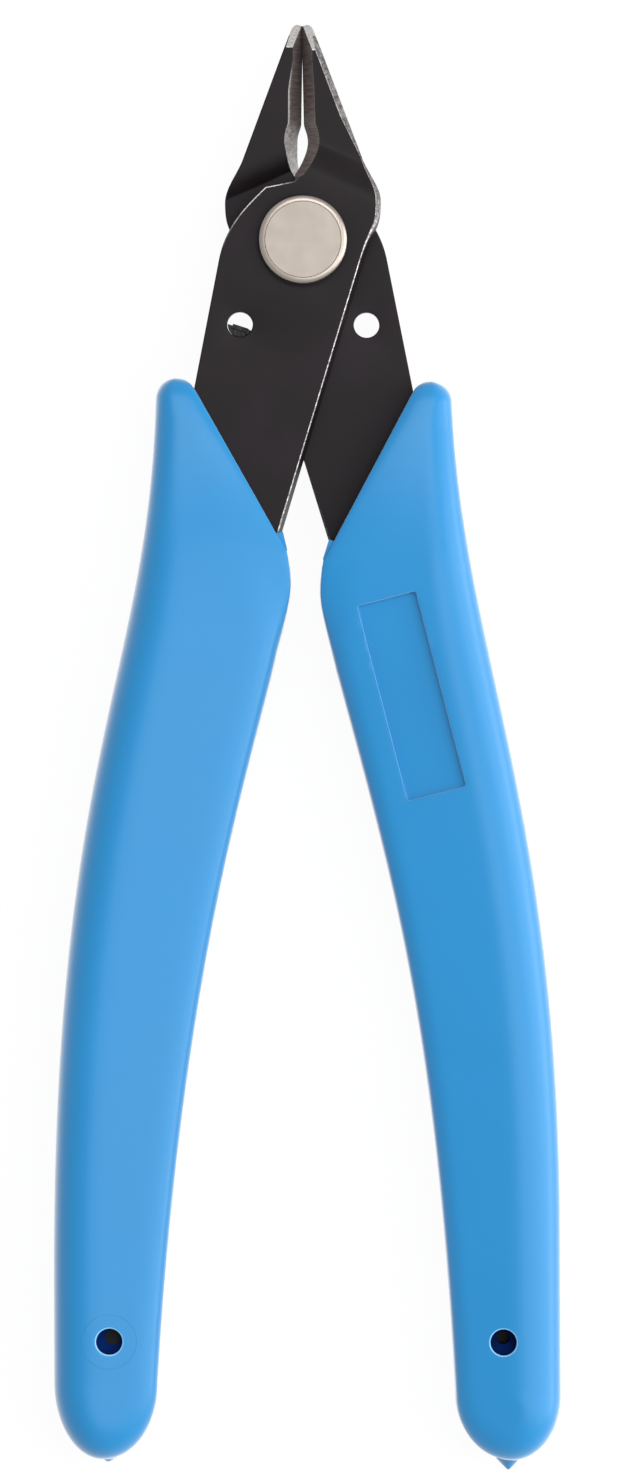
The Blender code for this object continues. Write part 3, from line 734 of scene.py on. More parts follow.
@dataclass
class Grip:
    """One moulded grip: long curved body, slanting mouth for the plate, hole and gate stub at its end.

    What starts with most is a limit: the largest share of the width that the inner or outer rounding
    takes, and of the half thickness that a rounding or the lip falls.
    """

    side: Side
    pivot: Array
    reach: float = 107.7 * MM
    thickness: float = 9.5 * MM
    face_fall: float = 1.40 * MM
    top: float = 12.15 * MM
    top_spread: float = 13.05 * MM
    top_round: float = 1.9 * MM
    top_fullness: float = 0.25
    tip_inset: float = 1.8 * MM
    mouth_inset: float = 3.35 * MM
    mouth_fall: float = 0.87 * MM
    notch: float = 27.66 * MM
    notch_spread: float = 1.50 * MM
    flash: tuple[float, float, float] = (26.05 * MM, 2.75 * MM, 1.86 * MM)
    flash_rise: float = 0.25 * MM
    flash_level: float = 3.40 * MM
    flash_reach: float = 0.3 * MM
    flash_lean: float = 0.1 * MM
    flash_gap: float = 0.02 * MM
    flare: float = 0.73 * MM
    end_spread: float = 22.35 * MM
    outer_depths: tuple[float, float, float] = (38.6 * MM, 44.9 * MM, 92.5 * MM)
    palm_spreads: tuple[float, float, float] = (0.95 * MM, 1.12 * MM, 2.48 * MM)
    palm_depths: tuple[float, float, float] = (30.81 * MM, 31.32 * MM, 36.52 * MM)
    inner_flare: float = 4.44 * MM
    inner_sweep: float = 10.85 * MM
    inner_end_spread: float = 13.21 * MM
    inner_depths: tuple[float, float] = (45.6 * MM, 63.2 * MM)
    end_round: float = 6.8 * MM
    end_shift: float = 0.20 * MM
    outer_round: float = 4.55 * MM
    outer_power: float = SOFT_POWER
    top_outer_round: float = 2.6 * MM
    inner_round: float = 2.8 * MM
    palm_round: float = 3.3 * MM
    edge_fullness: float = 0.67
    most_inner: float = 0.45
    most_outer: float = 0.50
    most_fall: float = 0.92
    most_lip: float = 0.05
    palm_fade: float = 18.0 * MM
    lip_fall: float = 0.20 * MM
    lip_turn: float = 0.15 * MM
    lip_round: float = 0.9 * MM
    mouth_undercut: float = 0.06 * MM
    mouth_thinning: float = 0.62
    mouth_share: float = 0.55
    thinning_power: float = 1.6
    half_stack: float = HALF_STACK
    plate_gap: float = PLATE_GAP
    parting_ridge: float = 0.05 * MM
    seam_heights: tuple[float, ...] = (0.55, 0.2, 0.0, -0.2, -0.55)
    seam_swell: tuple[float, ...] = (0.0, 0.35, 1.0, 0.35, 0.0)
    pin_inset: float = 10.5 * MM
    pin_shift: float = -0.21 * MM
    pin_radius: float = 1.16 * MM
    pin_depth: float = 1.9 * MM
    bore_radius: float = 0.66 * MM
    bore_shift: Pair = (-0.29 * MM, 0.30 * MM)
    rim: float = 0.13 * MM
    mark_radius: float = 2.4 * MM
    mark_depth: float = 0.03 * MM
    mark_width: float = 0.05 * MM
    gate_radius: float = 0.70 * MM
    gate_length: float = 0.35 * MM
    gate_shift: float = -0.15 * MM
    gate_sunk: float = 1.2 * MM
    panel_drop: float = 40.35 * MM
    panel_offset: float = 0.87 * MM
    panel_tilt: float = math.radians(14.3)
    panel_width: float = 5.34 * MM
    panel_length: float = 17.8 * MM
    panel_depth: float = 0.60 * MM
    panel_corner: float = 0.30 * MM
    panel_rim: float = 0.05 * MM

    @property
    def half(self) -> float:
        """Half the grip's thickness."""
        return self.thickness / 2

    @property
    def end(self) -> float:
        """Depth at which the rounded end starts."""
        return self.reach - self.end_round

    @property
    def shoulder(self) -> float:
        """Depth at which the rounded top starts."""
        return self.top + self.top_round

    def outer_edge(self) -> Array:
        """Draw the outer edge: rounded top, long Bezier sweep and straight end.

        Returns:
            Points as (spread, depth), from the top down.
        """
        first, second, widest = self.outer_depths
        cap = bezier([
            (self.top_spread - self.tip_inset, self.top), (self.top_spread - self.tip_inset / 3, self.top),
            (self.top_spread, self.top + self.top_round / 2), (self.top_spread, self.shoulder)], 80)
        sweep = bezier([
            (self.top_spread, self.shoulder), (self.top_spread + self.flare, first),
            (self.end_spread, second), (self.end_spread, widest)], 400, True)
        return np.concatenate([cap, sweep, [(self.end_spread, self.end)]])

    def inner_edge(self) -> Array:
        """Draw the inner edge: rounded top, slanting mouth, palm bulge and long Bezier sweep.

        Returns:
            Points as (spread, depth), from the top down.
        """
        first, second, last = zip(self.palm_spreads, self.palm_depths)
        flare, sweep = zip((self.inner_flare, self.inner_sweep), self.inner_depths)
        tip = (self.top_spread - self.tip_inset, self.top)
        upper = (self.top_spread - self.mouth_inset, self.top + self.mouth_fall)
        slant = (upper[0] - self.notch_spread) / (self.notch - upper[1])
        lead = self.mouth_fall / 3
        cap = bezier([
            tip, ((tip[0] + upper[0]) / 2, self.top), (upper[0] + slant * lead, upper[1] - lead), upper], 80)
        palm = bezier([(self.notch_spread, self.notch), first, second, last], 120)
        long_sweep = bezier([last, flare, sweep, (self.inner_end_spread, self.end)], 400, True)
        return np.concatenate([cap, [upper], palm, long_sweep])

    def spread(self, edge: Array, depth: Array | float) -> Array:
        """Read an edge's spread at a depth."""
        return np.interp(depth, edge[:, 1], edge[:, 0])

    def edges_at(self, depth: Array | float) -> tuple[Array, Array]:
        """Read the spreads of the inner and the outer edge at a depth."""
        return self.spread(self.inner_edge(), depth), self.spread(self.outer_edge(), depth)

    def middle(self, depth: float) -> float:
        """Return the spread half way between both edges at a depth."""
        return sum(self.edges_at(depth)) / 2

    def mouth(self, depth: Array) -> Array:
        """Tell how far a depth belongs to the mouth, from 0 below the palm to 1 at the top."""
        return smoothstep(self.palm_depths[-1], self.shoulder, depth)

    def stations(self) -> tuple[Array, ...]:
        """Work out the sections from the rounded end to the rounded top.

        The end is a half ellipse in plan. The mouth thins towards the top, whose thickness falls as a
        power of the cosine.

        Returns:
            Depth, inner spread, outer spread, half thickness and mouth share, one of each per row.
        """
        palm_end = self.palm_depths[-1]
        turn = np.linspace(QUARTER, 0.0, 40, endpoint=False)
        cap_in, cap_out = self.edges_at(self.end)
        middle = self.middle(self.end) + self.end_shift * (1.0 - np.cos(turn))
        reach = (cap_out - cap_in) / 2 * np.cos(turn)
        top_turn = quarter_turn(26)
        top = self.shoulder - self.top_round * np.sin(top_turn)
        body = np.concatenate([
            np.linspace(self.end, palm_end, 90, endpoint=False),
            np.linspace(palm_end, self.notch, 30, endpoint=False),
            np.linspace(self.notch, self.shoulder, 48, endpoint=False), top])
        inner, outer = self.edges_at(body)
        left, right = np.concatenate([middle - reach, inner]), np.concatenate([middle + reach, outer])
        depth = np.concatenate([self.end + self.end_round * np.sin(turn), body])
        rising = np.maximum((self.notch - depth) / (self.notch - self.shoulder), 0.0)
        height = self.half * (1.0 - (1.0 - self.mouth_thinning) * rising ** self.thinning_power)
        height[-len(top):] *= np.cos(top_turn) ** self.top_fullness
        return depth, left, right, height, self.mouth(depth)

    def leaned(self, points: Array) -> Array:
        """Let the front face fall towards the inner edge.

        Heights over the middle plane shrink in proportion to the way from the outer edge to the inner
        one. The fall fades out at the mouth, and the back stays flat.

        Args:
            points: points from the pivot, with the spread positive, as (..., 3).

        Returns:
            The moved points.
        """
        spread, depth, height = points[..., 0], -points[..., 1], points[..., 2]
        inner, outer = self.edges_at(depth)
        inwards = np.clip((outer - spread) / np.maximum(outer - inner, self.rim), 0.0, 1.0)
        fall = self.face_fall / self.half * inwards * (1.0 - self.mouth(depth))
        moved = np.where(height > 0.0, height * (1.0 - fall), height)
        return np.stack([spread, -depth, moved], axis=-1)

    def to_side(self, points: Array) -> Array:
        """Turn points to the grip's own side and move them to the frame."""
        return points * (self.side.value, 1.0, 1.0) + self.pivot

    def placed(self, points: Array) -> Array:
        """Lean points and move them to the grip's place in the frame."""
        return self.to_side(self.leaned(points))

    def sections(self) -> Array:
        """Lay the rounded section round every station.

        A section is a box of two flats and two walls joined by four rounded corners. The outer ones
        shrink towards the top, the inner ones grow at the palm and flatten at the mouth into a parabola
        that ends in a turned-down, undercut lip. At the end the sections narrow, and their height
        follows from the distance to the edge instead.

        Returns:
            Points as (stations, section points, 3), from the pivot.
        """
        depth, left, right, half, mouth = (values[:, None] for values in self.stations())
        width = right - left
        palm_end = self.palm_depths[-1]
        fading = smoothstep(palm_end, palm_end + self.palm_fade, depth)
        inner = self.palm_round + (self.inner_round - self.palm_round) * fading
        deepest = self.most_fall * half
        inner_x = np.minimum(inner + (self.mouth_share * width - inner) * mouth, self.most_inner * width)
        inner_z = np.minimum(self.edge_fullness * inner, deepest)
        lipped = smoothstep(palm_end, self.notch, depth)
        inner_z = np.minimum(inner_z + (self.lip_fall - inner_z) * lipped, deepest)
        outer = self.outer_round + (self.top_outer_round - self.outer_round) * mouth
        outer_x = np.minimum(outer, self.most_outer * width)
        outer_z = np.minimum(self.edge_fullness * outer, deepest)
        ending = depth > self.end
        narrowed = width / width[ending].max()
        inner_x = np.where(ending, self.inner_round * narrowed, inner_x)
        outer_x = np.where(ending, self.outer_round * narrowed, outer_x)
        way = np.sin(quarter_turn(18))[None, :]
        fallen, out_fallen = (rounding(1.0 - way, 1.0, power) for power in (SOFT_POWER, self.outer_power))
        across = np.linspace(0.0, 1.0, 12, endpoint=False)[None, 1:]
        seam = np.array([self.seam_heights])
        ridge = self.parting_ridge * np.array([self.seam_swell])
        out_x, out_z = right - outer_x + outer_x * way, half - outer_z * out_fallen
        in_x = left + inner_x - inner_x * way
        turned = np.minimum(self.lip_turn, self.most_lip * half) * rounding(in_x - left, self.lip_round, 2.0)
        in_z = half - inner_z * (fallen + (way ** 2 - fallen) * lipped) - turned * lipped
        flat_x = left + inner_x + (width - inner_x - outer_x) * across
        flat_z = np.broadcast_to(half, flat_x.shape)
        fine = np.minimum(1.0, width / self.outer_round)
        wall_x, wall_z = right + ridge * fine, seam * (half - outer_z)
        web_x = left + fine * np.where(depth > self.notch, -ridge, self.mouth_undercut)
        web_z = seam * (half - inner_z)
        x = np.concatenate([
            flat_x, out_x, wall_x, out_x[:, ::-1], flat_x[:, ::-1],
            in_x, web_x[:, ::-1], in_x[:, ::-1]], axis=1)
        z = np.concatenate([
            flat_z, out_z, wall_z, -out_z[:, ::-1], -flat_z,
            -in_z, web_z[:, ::-1], in_z[:, ::-1]], axis=1)
        upper, lower = np.ones((1, way.size)), -np.ones((1, way.size + across.size))
        share = np.concatenate([-lower, seam, lower, -upper, seam[:, ::-1], upper], axis=1)
        z = np.where(ending, share * (half - self.end_drop(x, depth, left, right)), z)
        return np.stack([x, np.broadcast_to(-depth, x.shape), z], axis=-1)

    def end_drop(self, x: Array, depth: Array, left: Array, right: Array) -> Array:
        """Tell how far the rounded end's faces lie under their flat.

        With u and v as the half ellipse's own coordinates and l = sqrt(u^2 + v^2), the distance to the
        outline is about (1 - l) / |grad l|, and the edge's radius turns evenly from one side to the other.

        Args:
            x: spreads of the points.
            depth: depths of the rows.
            left: inner spreads of the rows.
            right: outer spreads of the rows.

        Returns:
            Drops, one for each point.
        """
        inner, outer = self.edges_at(self.end)
        half_width = (outer - inner) / 2
        u, v = (x - (left + right) / 2) / half_width, (depth - self.end) / self.end_round
        level = np.maximum(np.hypot(u, v), TINY)
        distance = (1.0 - level) * level / np.hypot(u / half_width, v / self.end_round)
        turned = np.arctan2(v, u) / math.pi
        strip = self.outer_round + (self.inner_round - self.outer_round) * turned
        power = self.outer_power + (SOFT_POWER - self.outer_power) * turned
        return self.edge_fullness * strip * rounding(distance, strip, power)

    def pin_place(self) -> Array:
        """Return the middle of the hole near the grip's end, from the pivot."""
        depth = self.reach - self.pin_inset
        return np.array([self.middle(depth) + self.pin_shift, -depth, 0.0])

    def face_drop(self, points: Array) -> Array:
        """Tell how far the long faces lie under their flat: the fall of both edges' rounding.

        Args:
            points: points from the pivot, with the spread positive, as (points, 3).

        Returns:
            Drops, one for each point.
        """
        spread = points[:, 0]
        inner, outer = self.edges_at(-points[:, 1])
        drops = (self.outer_round * rounding(outer - spread, self.outer_round, self.outer_power)
                 + self.inner_round * rounding(spread - inner, self.inner_round))
        return self.edge_fullness * drops

    def pin_cutter(self) -> Shell:
        """Turn the stepped hole that goes in from both faces: rounded rim, wall, floor and narrow bore.

        The bore stands a little off the middle, and the rims lie on the rounded faces.

        Returns:
            The closed cutter, from the pivot.
        """
        floor = self.half - self.pin_depth
        turn = quarter_turn(6)
        rim = np.stack([
            self.pin_radius + self.rim * (1 - np.cos(turn)),
            self.half - self.rim * (1 - np.sin(turn))], axis=1)
        upper = np.concatenate([
            [(self.bore_radius, 0.0), (self.bore_radius, floor - self.rim / 2),
             (self.bore_radius + self.rim / 2, floor), (self.pin_radius - self.rim, floor),
             (self.pin_radius, floor + self.rim), (self.pin_radius, self.half - 2 * self.rim)], rim,
            [(self.pin_radius + self.rim, self.thickness), (0.0, self.thickness)]])
        lower = upper[:0:-1] * (1.0, -1.0)
        hole = lathe(np.concatenate([lower, upper]), self.pin_place(), 48)
        away = np.linalg.norm((hole.points - self.pin_place())[:, :2], axis=1)
        narrow = (away < self.bore_radius + self.rim) & (np.abs(hole.points[:, 2]) < self.half)
        hole.points[:, :2] += narrow[:, None] * np.array(self.bore_shift)
        height = hole.points[:, 2]
        near_face = np.abs(height) > self.half - 3 * self.rim
        height -= np.sign(height) * self.face_drop(hole.points) * near_face
        return hole

    def paint_hole_shade_and_highlight(self, grip: bpy.types.Object) -> None:
        """Mark where the hole is painted: 'ground' places a highlight on its rounded rim, 'bare' places shade
        on its floor and the wall under the rim.

        Args:
            grip: the grip, with its hole already cut.
        """
        mesh = grip.data
        points = np.empty(3 * len(mesh.vertices), np.float32)
        mesh.vertices.foreach_get("co", points)
        points = (points.reshape(-1, 3) - self.pivot) * (self.side.value, 1.0, 1.0)
        away = np.linalg.norm((points - self.pin_place())[:, :2], axis=1)
        front = self.leaned(points * (1.0, 1.0, 0.0) + (0.0, 0.0, self.half))[:, 2]
        face = np.where(points[:, 2] > 0.0, front, self.half) - self.face_drop(points)
        inside = away < self.pin_radius + 0.8 * self.rim
        # Painted shade on the floor and the wall under the rim, painted highlight on the rim itself.
        bare = inside & (np.abs(points[:, 2]) < face - 1.5 * self.rim)
        for mark, places in zip(MARKS, (bare, inside & ~bare)):
            mesh.attributes[mark].data.foreach_set("value", places.astype(np.float32))

    def mark_cutter(self) -> Shell:
        """Turn the faint ring that the mould left round the hole, and lay it on the rounded face.

        Returns:
            The closed cutter, from the pivot.
        """
        above = self.half + self.mark_width
        profile = np.array([
            (self.mark_radius - self.mark_width, above), (self.mark_radius, self.half - self.mark_depth),
            (self.mark_radius + self.mark_width, above)])
        ring = lathe(profile, self.pin_place(), 96, ring=True)
        ring.points[:, 2] -= self.face_drop(ring.points)
        return ring

    def panel_cutter(self) -> Shell:
        """Carry the panel's profile, floor to rim, round a rounded rectangle that leans with the grip.

        Returns:
            The closed cutter, from the pivot.
        """
        middle = self.middle(self.panel_drop) - self.panel_offset
        rim = self.panel_rim
        turn = quarter_turn(5)
        grown = np.concatenate([[-rim, -rim * 0.3, 0.0], rim * (1 - np.cos(turn)), [rim]])[:, None]
        height = np.concatenate([
            [-self.panel_depth, -self.panel_depth + rim * 0.3, -self.panel_depth + rim],
            -rim + rim * np.sin(turn), [2 * rim]])[:, None]
        signs, angle = oblong(7)
        core = signs * (np.array([self.panel_width, self.panel_length]) / 2 - self.panel_corner)
        x = core[:, 0] + (self.panel_corner + grown) * np.cos(angle)
        y = core[:, 1] + (self.panel_corner + grown) * np.sin(angle)
        z = np.broadcast_to(self.half + height, x.shape)
        rings = np.stack([x, y, z], axis=-1)
        along = np.linspace(0.0, 1.0, 9)[:, None, None]
        finer = rings[:, None] * (1 - along) + np.roll(rings, -1, axis=1)[:, None] * along
        rings = np.moveaxis(finer[:, :-1], 1, 2).reshape(len(rings), -1, 3)
        shares = np.linspace(0.05, 1.0, 12, endpoint=False)[:, None, None]
        floor = rings[:1] * np.concatenate([shares, shares, np.ones_like(shares)], axis=2)
        top = rings[-1:] * (0.5, 0.5, 1.0)
        x, y, z = np.moveaxis(np.concatenate([floor, rings, top]), -1, 0)
        cos, sin = math.cos(self.panel_tilt), math.sin(self.panel_tilt)
        return capped(np.stack([x * cos - y * sin + middle, x * sin + y * cos - self.panel_drop, z], axis=-1))

    def flash_tab(self) -> Shell:
        """Draw the thin web of flash over the plate at the foot of the mouth, between two levels.

        Returns:
            The closed web, from the pivot.
        """
        depth, wide, narrow = self.flash
        above, below = self.notch - self.flash_reach, self.notch + self.flash_reach
        outline = np.array([
            (wide, depth), (narrow, depth - self.flash_rise), (self.notch_spread, above),
            (self.notch_spread + self.flash_lean, below), (wide, below)])
        plate = self.half_stack if self.side is Side.LEFT else -self.plate_gap / 2
        levels = (plate + self.flash_gap, self.flash_level)
        return capped(np.stack([at_level(outline * (1.0, -1.0), level) for level in levels]))

    def gate(self) -> Shell:
        """Turn the gate's stub about the length of the grip, sunk into the rounded end.

        Returns:
            The closed stub, from the pivot.
        """
        profile = np.array([
            (0.0, -self.gate_sunk), (1.05, -self.gate_sunk), (1.0, 0.0), (0.62, 0.45 * self.gate_length),
            (0.28, 0.82 * self.gate_length), (0.1, self.gate_length), (0.0, self.gate_length)])
        stub = lathe(profile * (self.gate_radius, 1.0), np.zeros(3), 24)
        stub.points = np.stack([stub.points[:, 0], -stub.points[:, 2], stub.points[:, 1]], axis=1)
        stub.points += (self.middle(self.end) + self.gate_shift, -self.reach, 0.0)
        return stub

    def build(self, name: str, plate: "Blade") -> bpy.types.Object:
        """Model the grip and cut the plate's pocket, the hole and the face marks out of it.

        Args:
            name: name of the object.
            plate: the blade whose tang the grip holds.

        Returns:
            The grip.
        """
        grip = Shell.from_grid(self.placed(self.sections())).build(name)
        mark = self.mark_cutter() if self.side is Side.LEFT else self.panel_cutter()
        stub, pin = self.gate(), self.pin_cutter()
        for shell in (stub, pin, mark):
            shell.points = self.placed(shell.points)
        combine(grip, stub, "UNION")
        for cutter in (plate.pocket(), pin, mark):
            combine(grip, cutter, "DIFFERENCE")
        self.paint_hole_shade_and_highlight(grip)
        web = self.flash_tab()
        web.points = self.to_side(web.points)
        combine(grip, web, "UNION")
        shade(grip)
        weighted = grip.modifiers.new("weighted", "WEIGHTED_NORMAL")
        weighted.keep_sharp = True
        apply(grip)
        return grip


@dataclass(frozen=True)
class Edge:
    """How a plate's edge is finished at one place.

    The front face stops at an inset, and the edge drops from there to the wall, rounded or flat. Bare
    is how much oxide is gone from the drop, wall from the wall and ridge from the crease at the face.
    Ground is how much the drop was ground. Taper is how far the wall leans out towards the back, as
    the die left it.
    """

    inset: float
    drop: float
    flat: float = 0.0
    bare: float = 0.0
    wall: float = 0.0
    ridge: float = 0.0
    ground: float = 0.0
    taper: float = 0.0

    @classmethod
    def even(cls, size: float, **finish: float) -> "Edge":
        """Make an edge that drops as far as it is inset."""
        return cls(size, size, **finish)


@dataclass
class Trim:
    """A stretch of a plate's outline with its finish at both ends."""

    points: Array
    start: Edge
    end: Edge | None = None

    def rows(self) -> Array:
        """Return the finish at every point, changing evenly along the stretch."""
        return np.linspace(astuple(self.start), astuple(self.end or self.start), len(self.points))


@dataclass
class Blade:
    """One stamped half: shear jaw, joggle, rivet bore, spring hole and the tang inside its grip."""

    layer: Layer
    pivot: Array
    grip: Grip
    bevel_at_tip: float = 0.07 * MM
    bevel_at_nose: float = 0.85 * MM
    bevel_at_middle: float = 0.98 * MM
    bevel_at_throat: float = 1.00 * MM
    bevel_at_foot: float = 0.60 * MM
    bevel_ground: float = 1.00
    ridge_bare: float = 0.10
    throat_bare: Pair = (0.02, 0.24)
    nose_chamfer: float = 0.30 * MM
    jaw_chamfer: float = 0.50 * MM
    root_chamfer: float = 0.10 * MM
    shoulder_chamfer: float = 0.45 * MM
    jaw_bare: float = 0.30
    edge_bare: float = 0.55
    thickness: float = PLATE
    plate_gap: float = PLATE_GAP
    edge_round: float = 0.09 * MM
    worn_round: float = 0.26 * MM
    back_round: float = 0.06 * MM
    least_wall: float = 0.01 * MM
    mitre_limit: float = 0.6
    wall_taper: float = 0.30 * MM
    mark_edge: float = 0.03 * MM
    jaw_reach: float = 19.2 * MM
    tip_gap: float = 0.0
    closed_length: float = 3.0 * MM
    throat_gap: float = 0.22 * MM
    tip_flat: float = 0.42 * MM
    tip_width: float = 1.18 * MM
    tip_round: float = 1.00 * MM
    tip_edge: float = 0.05 * MM
    shoulder_spread: float = 6.9 * MM
    shoulder_rise: float = 3.4 * MM
    root_inset: float = 1.6 * MM
    root_climb: float = 3.8 * MM
    chamfer_end: float = 11.2 * MM
    top_edge_rise: float = 5.2 * MM
    throat_foot: float = 0.72 * MM
    throat_swell: float = 2.85 * MM
    throat_close: float = 1.75 * MM
    throat_half_width: float = 0.46 * MM
    throat_overlap: float = 0.67 * MM
    throat_lead: Pair = (0.45 * MM, 0.55 * MM)
    notch_lean: float = 0.05 * MM
    edge_land: float = 0.25 * MM
    nose_bare: float = 1.30
    nose_length: float = 2.3 * MM
    nose_edge: float = 0.38 * MM
    nose_rows: tuple[float, ...] = (-0.04, 0.0, 0.25, 0.5, 0.75)
    nose_columns: tuple[float, float, float] = (0.03 * MM, 2.4 * MM, 0.07 * MM)
    bend_margin: float = 0.36 * MM
    bend_length: float = 2.3 * MM
    bend_eases: Pair = (1.2 * MM, 0.5 * MM)
    bend_turn: float = math.radians(24)
    bend_reach: float = 9.0 * MM
    bend_spacing: float = 0.31 * MM
    crotch_drop: float = 19.4 * MM
    inner_splay: float = math.radians(17.0)
    inner_start: float = 1.7 * MM
    outer_at_pivot: float = 7.1 * MM
    outer_splay: float = math.radians(11.1)
    outer_start: float = 1.7 * MM
    corner_spread: float = 3.3 * MM
    corner_fall: float = 0.5 * MM
    tang_cover: float = 7.3 * MM
    tang_follow: float = 20.0 * MM
    waist_fullness: float = 0.6
    bore_radius: float = 2.4 * MM
    hole_radius: float = 1.13 * MM
    hole_round: float = 0.08 * MM
    hole_inset: float = 2.96 * MM
    hole_drop: float = 7.45 * MM
    pocket_clearance: float = 0.2 * MM

    @property
    def half(self) -> float:
        """Half the plate's thickness."""
        return self.thickness / 2

    @property
    def lift(self) -> float:
        """How far the plate lies from the plane of the jaws."""
        return (self.thickness + self.plate_gap) / 2

    @property
    def nose_start(self) -> float:
        """Rise at which the ground nose starts."""
        return self.jaw_reach - self.nose_length

    @property
    def bend_start(self) -> float:
        """How far from the pivot the joggle starts, just past the corner of the top edge."""
        return math.hypot(self.corner_spread, self.top_edge_rise - self.corner_fall) + self.bend_margin

    def straight_inner(self, depth: Array | float) -> Array | float:
        """Return the spread of the straight inner edge, towards the handle's side."""
        return (depth - self.crotch_drop) * math.tan(self.inner_splay)

    def straight_outer(self, depth: Array | float) -> Array | float:
        """Return the spread of the straight outer edge."""
        return self.outer_at_pivot + depth * math.tan(self.outer_splay)

    def hole_place(self) -> Pair:
        """Return the middle of the spring's hole, with the handle at -X."""
        return -(self.straight_outer(self.hole_drop) - self.hole_inset), -self.hole_drop

    def tang(self, grown: float) -> tuple[Array, Array, Array]:
        """Draw the tang at an even wall inside its grip: inner edge, round end and outer edge.

        Args:
            grown: clearance added all round.

        Returns:
            The three stretches as (spread, depth).
        """
        grip = self.grip
        outer, inner = grip.outer_edge(), grip.inner_edge()
        palm_end = grip.palm_depths[-1]
        reach = grip.reach - self.tang_cover
        inner_wall = self.straight_inner(palm_end) - grip.spread(inner, palm_end)
        outer_wall = grip.spread(outer, self.tang_follow) - self.straight_outer(self.tang_follow)
        walls = outer_wall + inner_wall
        radius = (grip.spread(outer, reach) - grip.spread(inner, reach) - walls) / 2
        down_depth = np.linspace(palm_end, reach - radius, 24)
        back_depth = np.linspace(reach - radius, self.tang_follow, 24)
        down = np.stack([grip.spread(inner, down_depth) + inner_wall - grown, down_depth], axis=1)
        back = np.stack([grip.spread(outer, back_depth) - outer_wall + grown, back_depth], axis=1)
        turn = np.linspace(math.pi, 0.0, 15)[1:-1, None]
        middle, half = (down[-1, 0] + back[0, 0]) / 2, (back[0, 0] - down[-1, 0]) / 2
        end = np.concatenate([
            middle + half * np.cos(turn), reach - radius + (radius + grown) * np.sin(turn)], axis=1)
        return down, end, back

    def pocket(self) -> Shell:
        """Draw the tang's pocket, grown by its clearance and open at the mouth, between two levels.

        Returns:
            The closed cutter, in the frame.
        """
        above = self.grip.top - (self.grip.notch - self.grip.top) / 4
        slack = self.pocket_clearance / math.cos(self.inner_splay)
        mouth = np.array([
            (self.straight_outer(above) + slack, above), (self.straight_inner(above) - slack, above)])
        outline = np.concatenate([*self.tang(self.pocket_clearance), mouth]) * (-self.layer.value, -1.0)
        low = self.plate_gap / 2 - self.pocket_clearance
        high = self.plate_gap / 2 + self.thickness + self.pocket_clearance
        levels = [self.layer.value * level for level in (low, high)]
        shell = Shell.from_grid(np.stack([at_level(outline, level) for level in levels]))
        points, faces = flat_face([outline], np.zeros((0, 2)))
        for level in levels:
            shell = shell + Shell(at_level(points, level), [faces], np.zeros((len(points), len(MARKS))))
        shell.points = shell.points + self.pivot
        return shell

    def front_height(self, y: Array | float) -> Array:
        """Return the front face's height over the plate's middle: flat, then falling along the nose."""
        slope = (self.thickness - self.nose_edge) / self.nose_length
        return self.half - np.maximum(y - self.nose_start, 0.0) * slope

    def raised(self, x: Array, y: Array) -> Array:
        """Return how far the joggle lifts the plate: full at the pivot, nothing at the jaw.

        The ramp is the difference of two softened corners, sqrt(t^2 + e^2 / 4) + t, at its two ends,
        with e as the length over which each one eases.

        Args:
            x: spread, with the jaw at +X.
            y: rise over the pivot.

        Returns:
            Heights.
        """
        reach = x * math.sin(self.bend_turn) + y * math.cos(self.bend_turn) - self.bend_start
        ends = zip((reach, reach - self.bend_length), self.bend_eases)
        soft = [np.sqrt(t * t + ease * ease / 4) + t for t, ease in ends]
        ramp = (soft[0] - soft[1]) / (2 * self.bend_length)
        return self.layer.value * self.lift * (1.0 - ramp)

    def outline(self) -> list[Trim]:
        """Draw the stamped outline with the jaw at +X and the handle at -X, clockwise from the tip.

        Returns:
            Its stretches, each with the finish of its edge.
        """
        tip, throat = self.tip_gap / 2, self.throat_gap / 2
        root = (self.shoulder_spread - self.root_inset, self.shoulder_rise + self.root_climb)
        nose_end = (self.tip_width, self.jaw_reach - self.tip_round)
        slope = (root[0] - nose_end[0]) / (nose_end[1] - root[1])
        lead = self.root_climb / 3
        cheek = (nose_end[0] + slope * (nose_end[1] - self.nose_start), self.nose_start)
        broad = (nose_end[0] + slope * (nose_end[1] - self.chamfer_end), self.chamfer_end)
        inner_top = (-self.straight_inner(self.inner_start), -self.inner_start)
        waist_lead = self.shoulder_rise + self.inner_start
        into_waist = self.waist_fullness * waist_lead
        shoulder = (self.shoulder_spread, self.shoulder_rise)
        crotch = (-self.straight_inner(self.crotch_drop), -self.crotch_drop)
        corner = (-self.corner_spread, self.top_edge_rise - self.corner_fall)
        foot = (-self.throat_overlap, self.top_edge_rise + self.throat_foot)
        notch = (foot[0] - self.notch_lean, self.top_edge_rise)
        wide = (self.throat_half_width, foot[1] + self.throat_swell)
        closed = (throat, wide[1] + self.throat_close)
        meeting = (tip, self.jaw_reach - self.closed_length)
        middle = tuple((np.array(closed) + np.array(meeting)) / 2)
        outer_foot = (-self.straight_outer(self.outer_start), -self.outer_start)
        outer_lead = (corner[1] + self.outer_start) / 2
        corner_lead = (outer_foot[0] + self.corner_spread) / 3
        down, end, back = (stretch * (-1.0, -1.0) for stretch in self.tang(0.0))
        fine = Edge.even(self.tip_edge, bare=0.9, wall=0.5)
        chamfer = dict(flat=1.0, bare=self.jaw_bare, wall=0.5 * self.jaw_bare, ridge=2.0 * self.jaw_bare)
        nose, jaw, thin, broadened = (
            Edge.even(size, **chamfer)
            for size in (self.nose_chamfer, self.jaw_chamfer, self.root_chamfer, self.shoulder_chamfer))
        dim = Edge.even(self.edge_round, bare=0.45 * self.edge_bare, wall=0.2)
        bright = Edge.even(self.edge_round, bare=1.8 * self.edge_bare, wall=0.3)
        sheared = Edge.even(self.edge_round, bare=self.edge_bare, wall=0.04, taper=self.wall_taper)
        worn = Edge.even(self.worn_round, bare=0.45, wall=0.04, ridge=0.15, taper=self.wall_taper / 2)
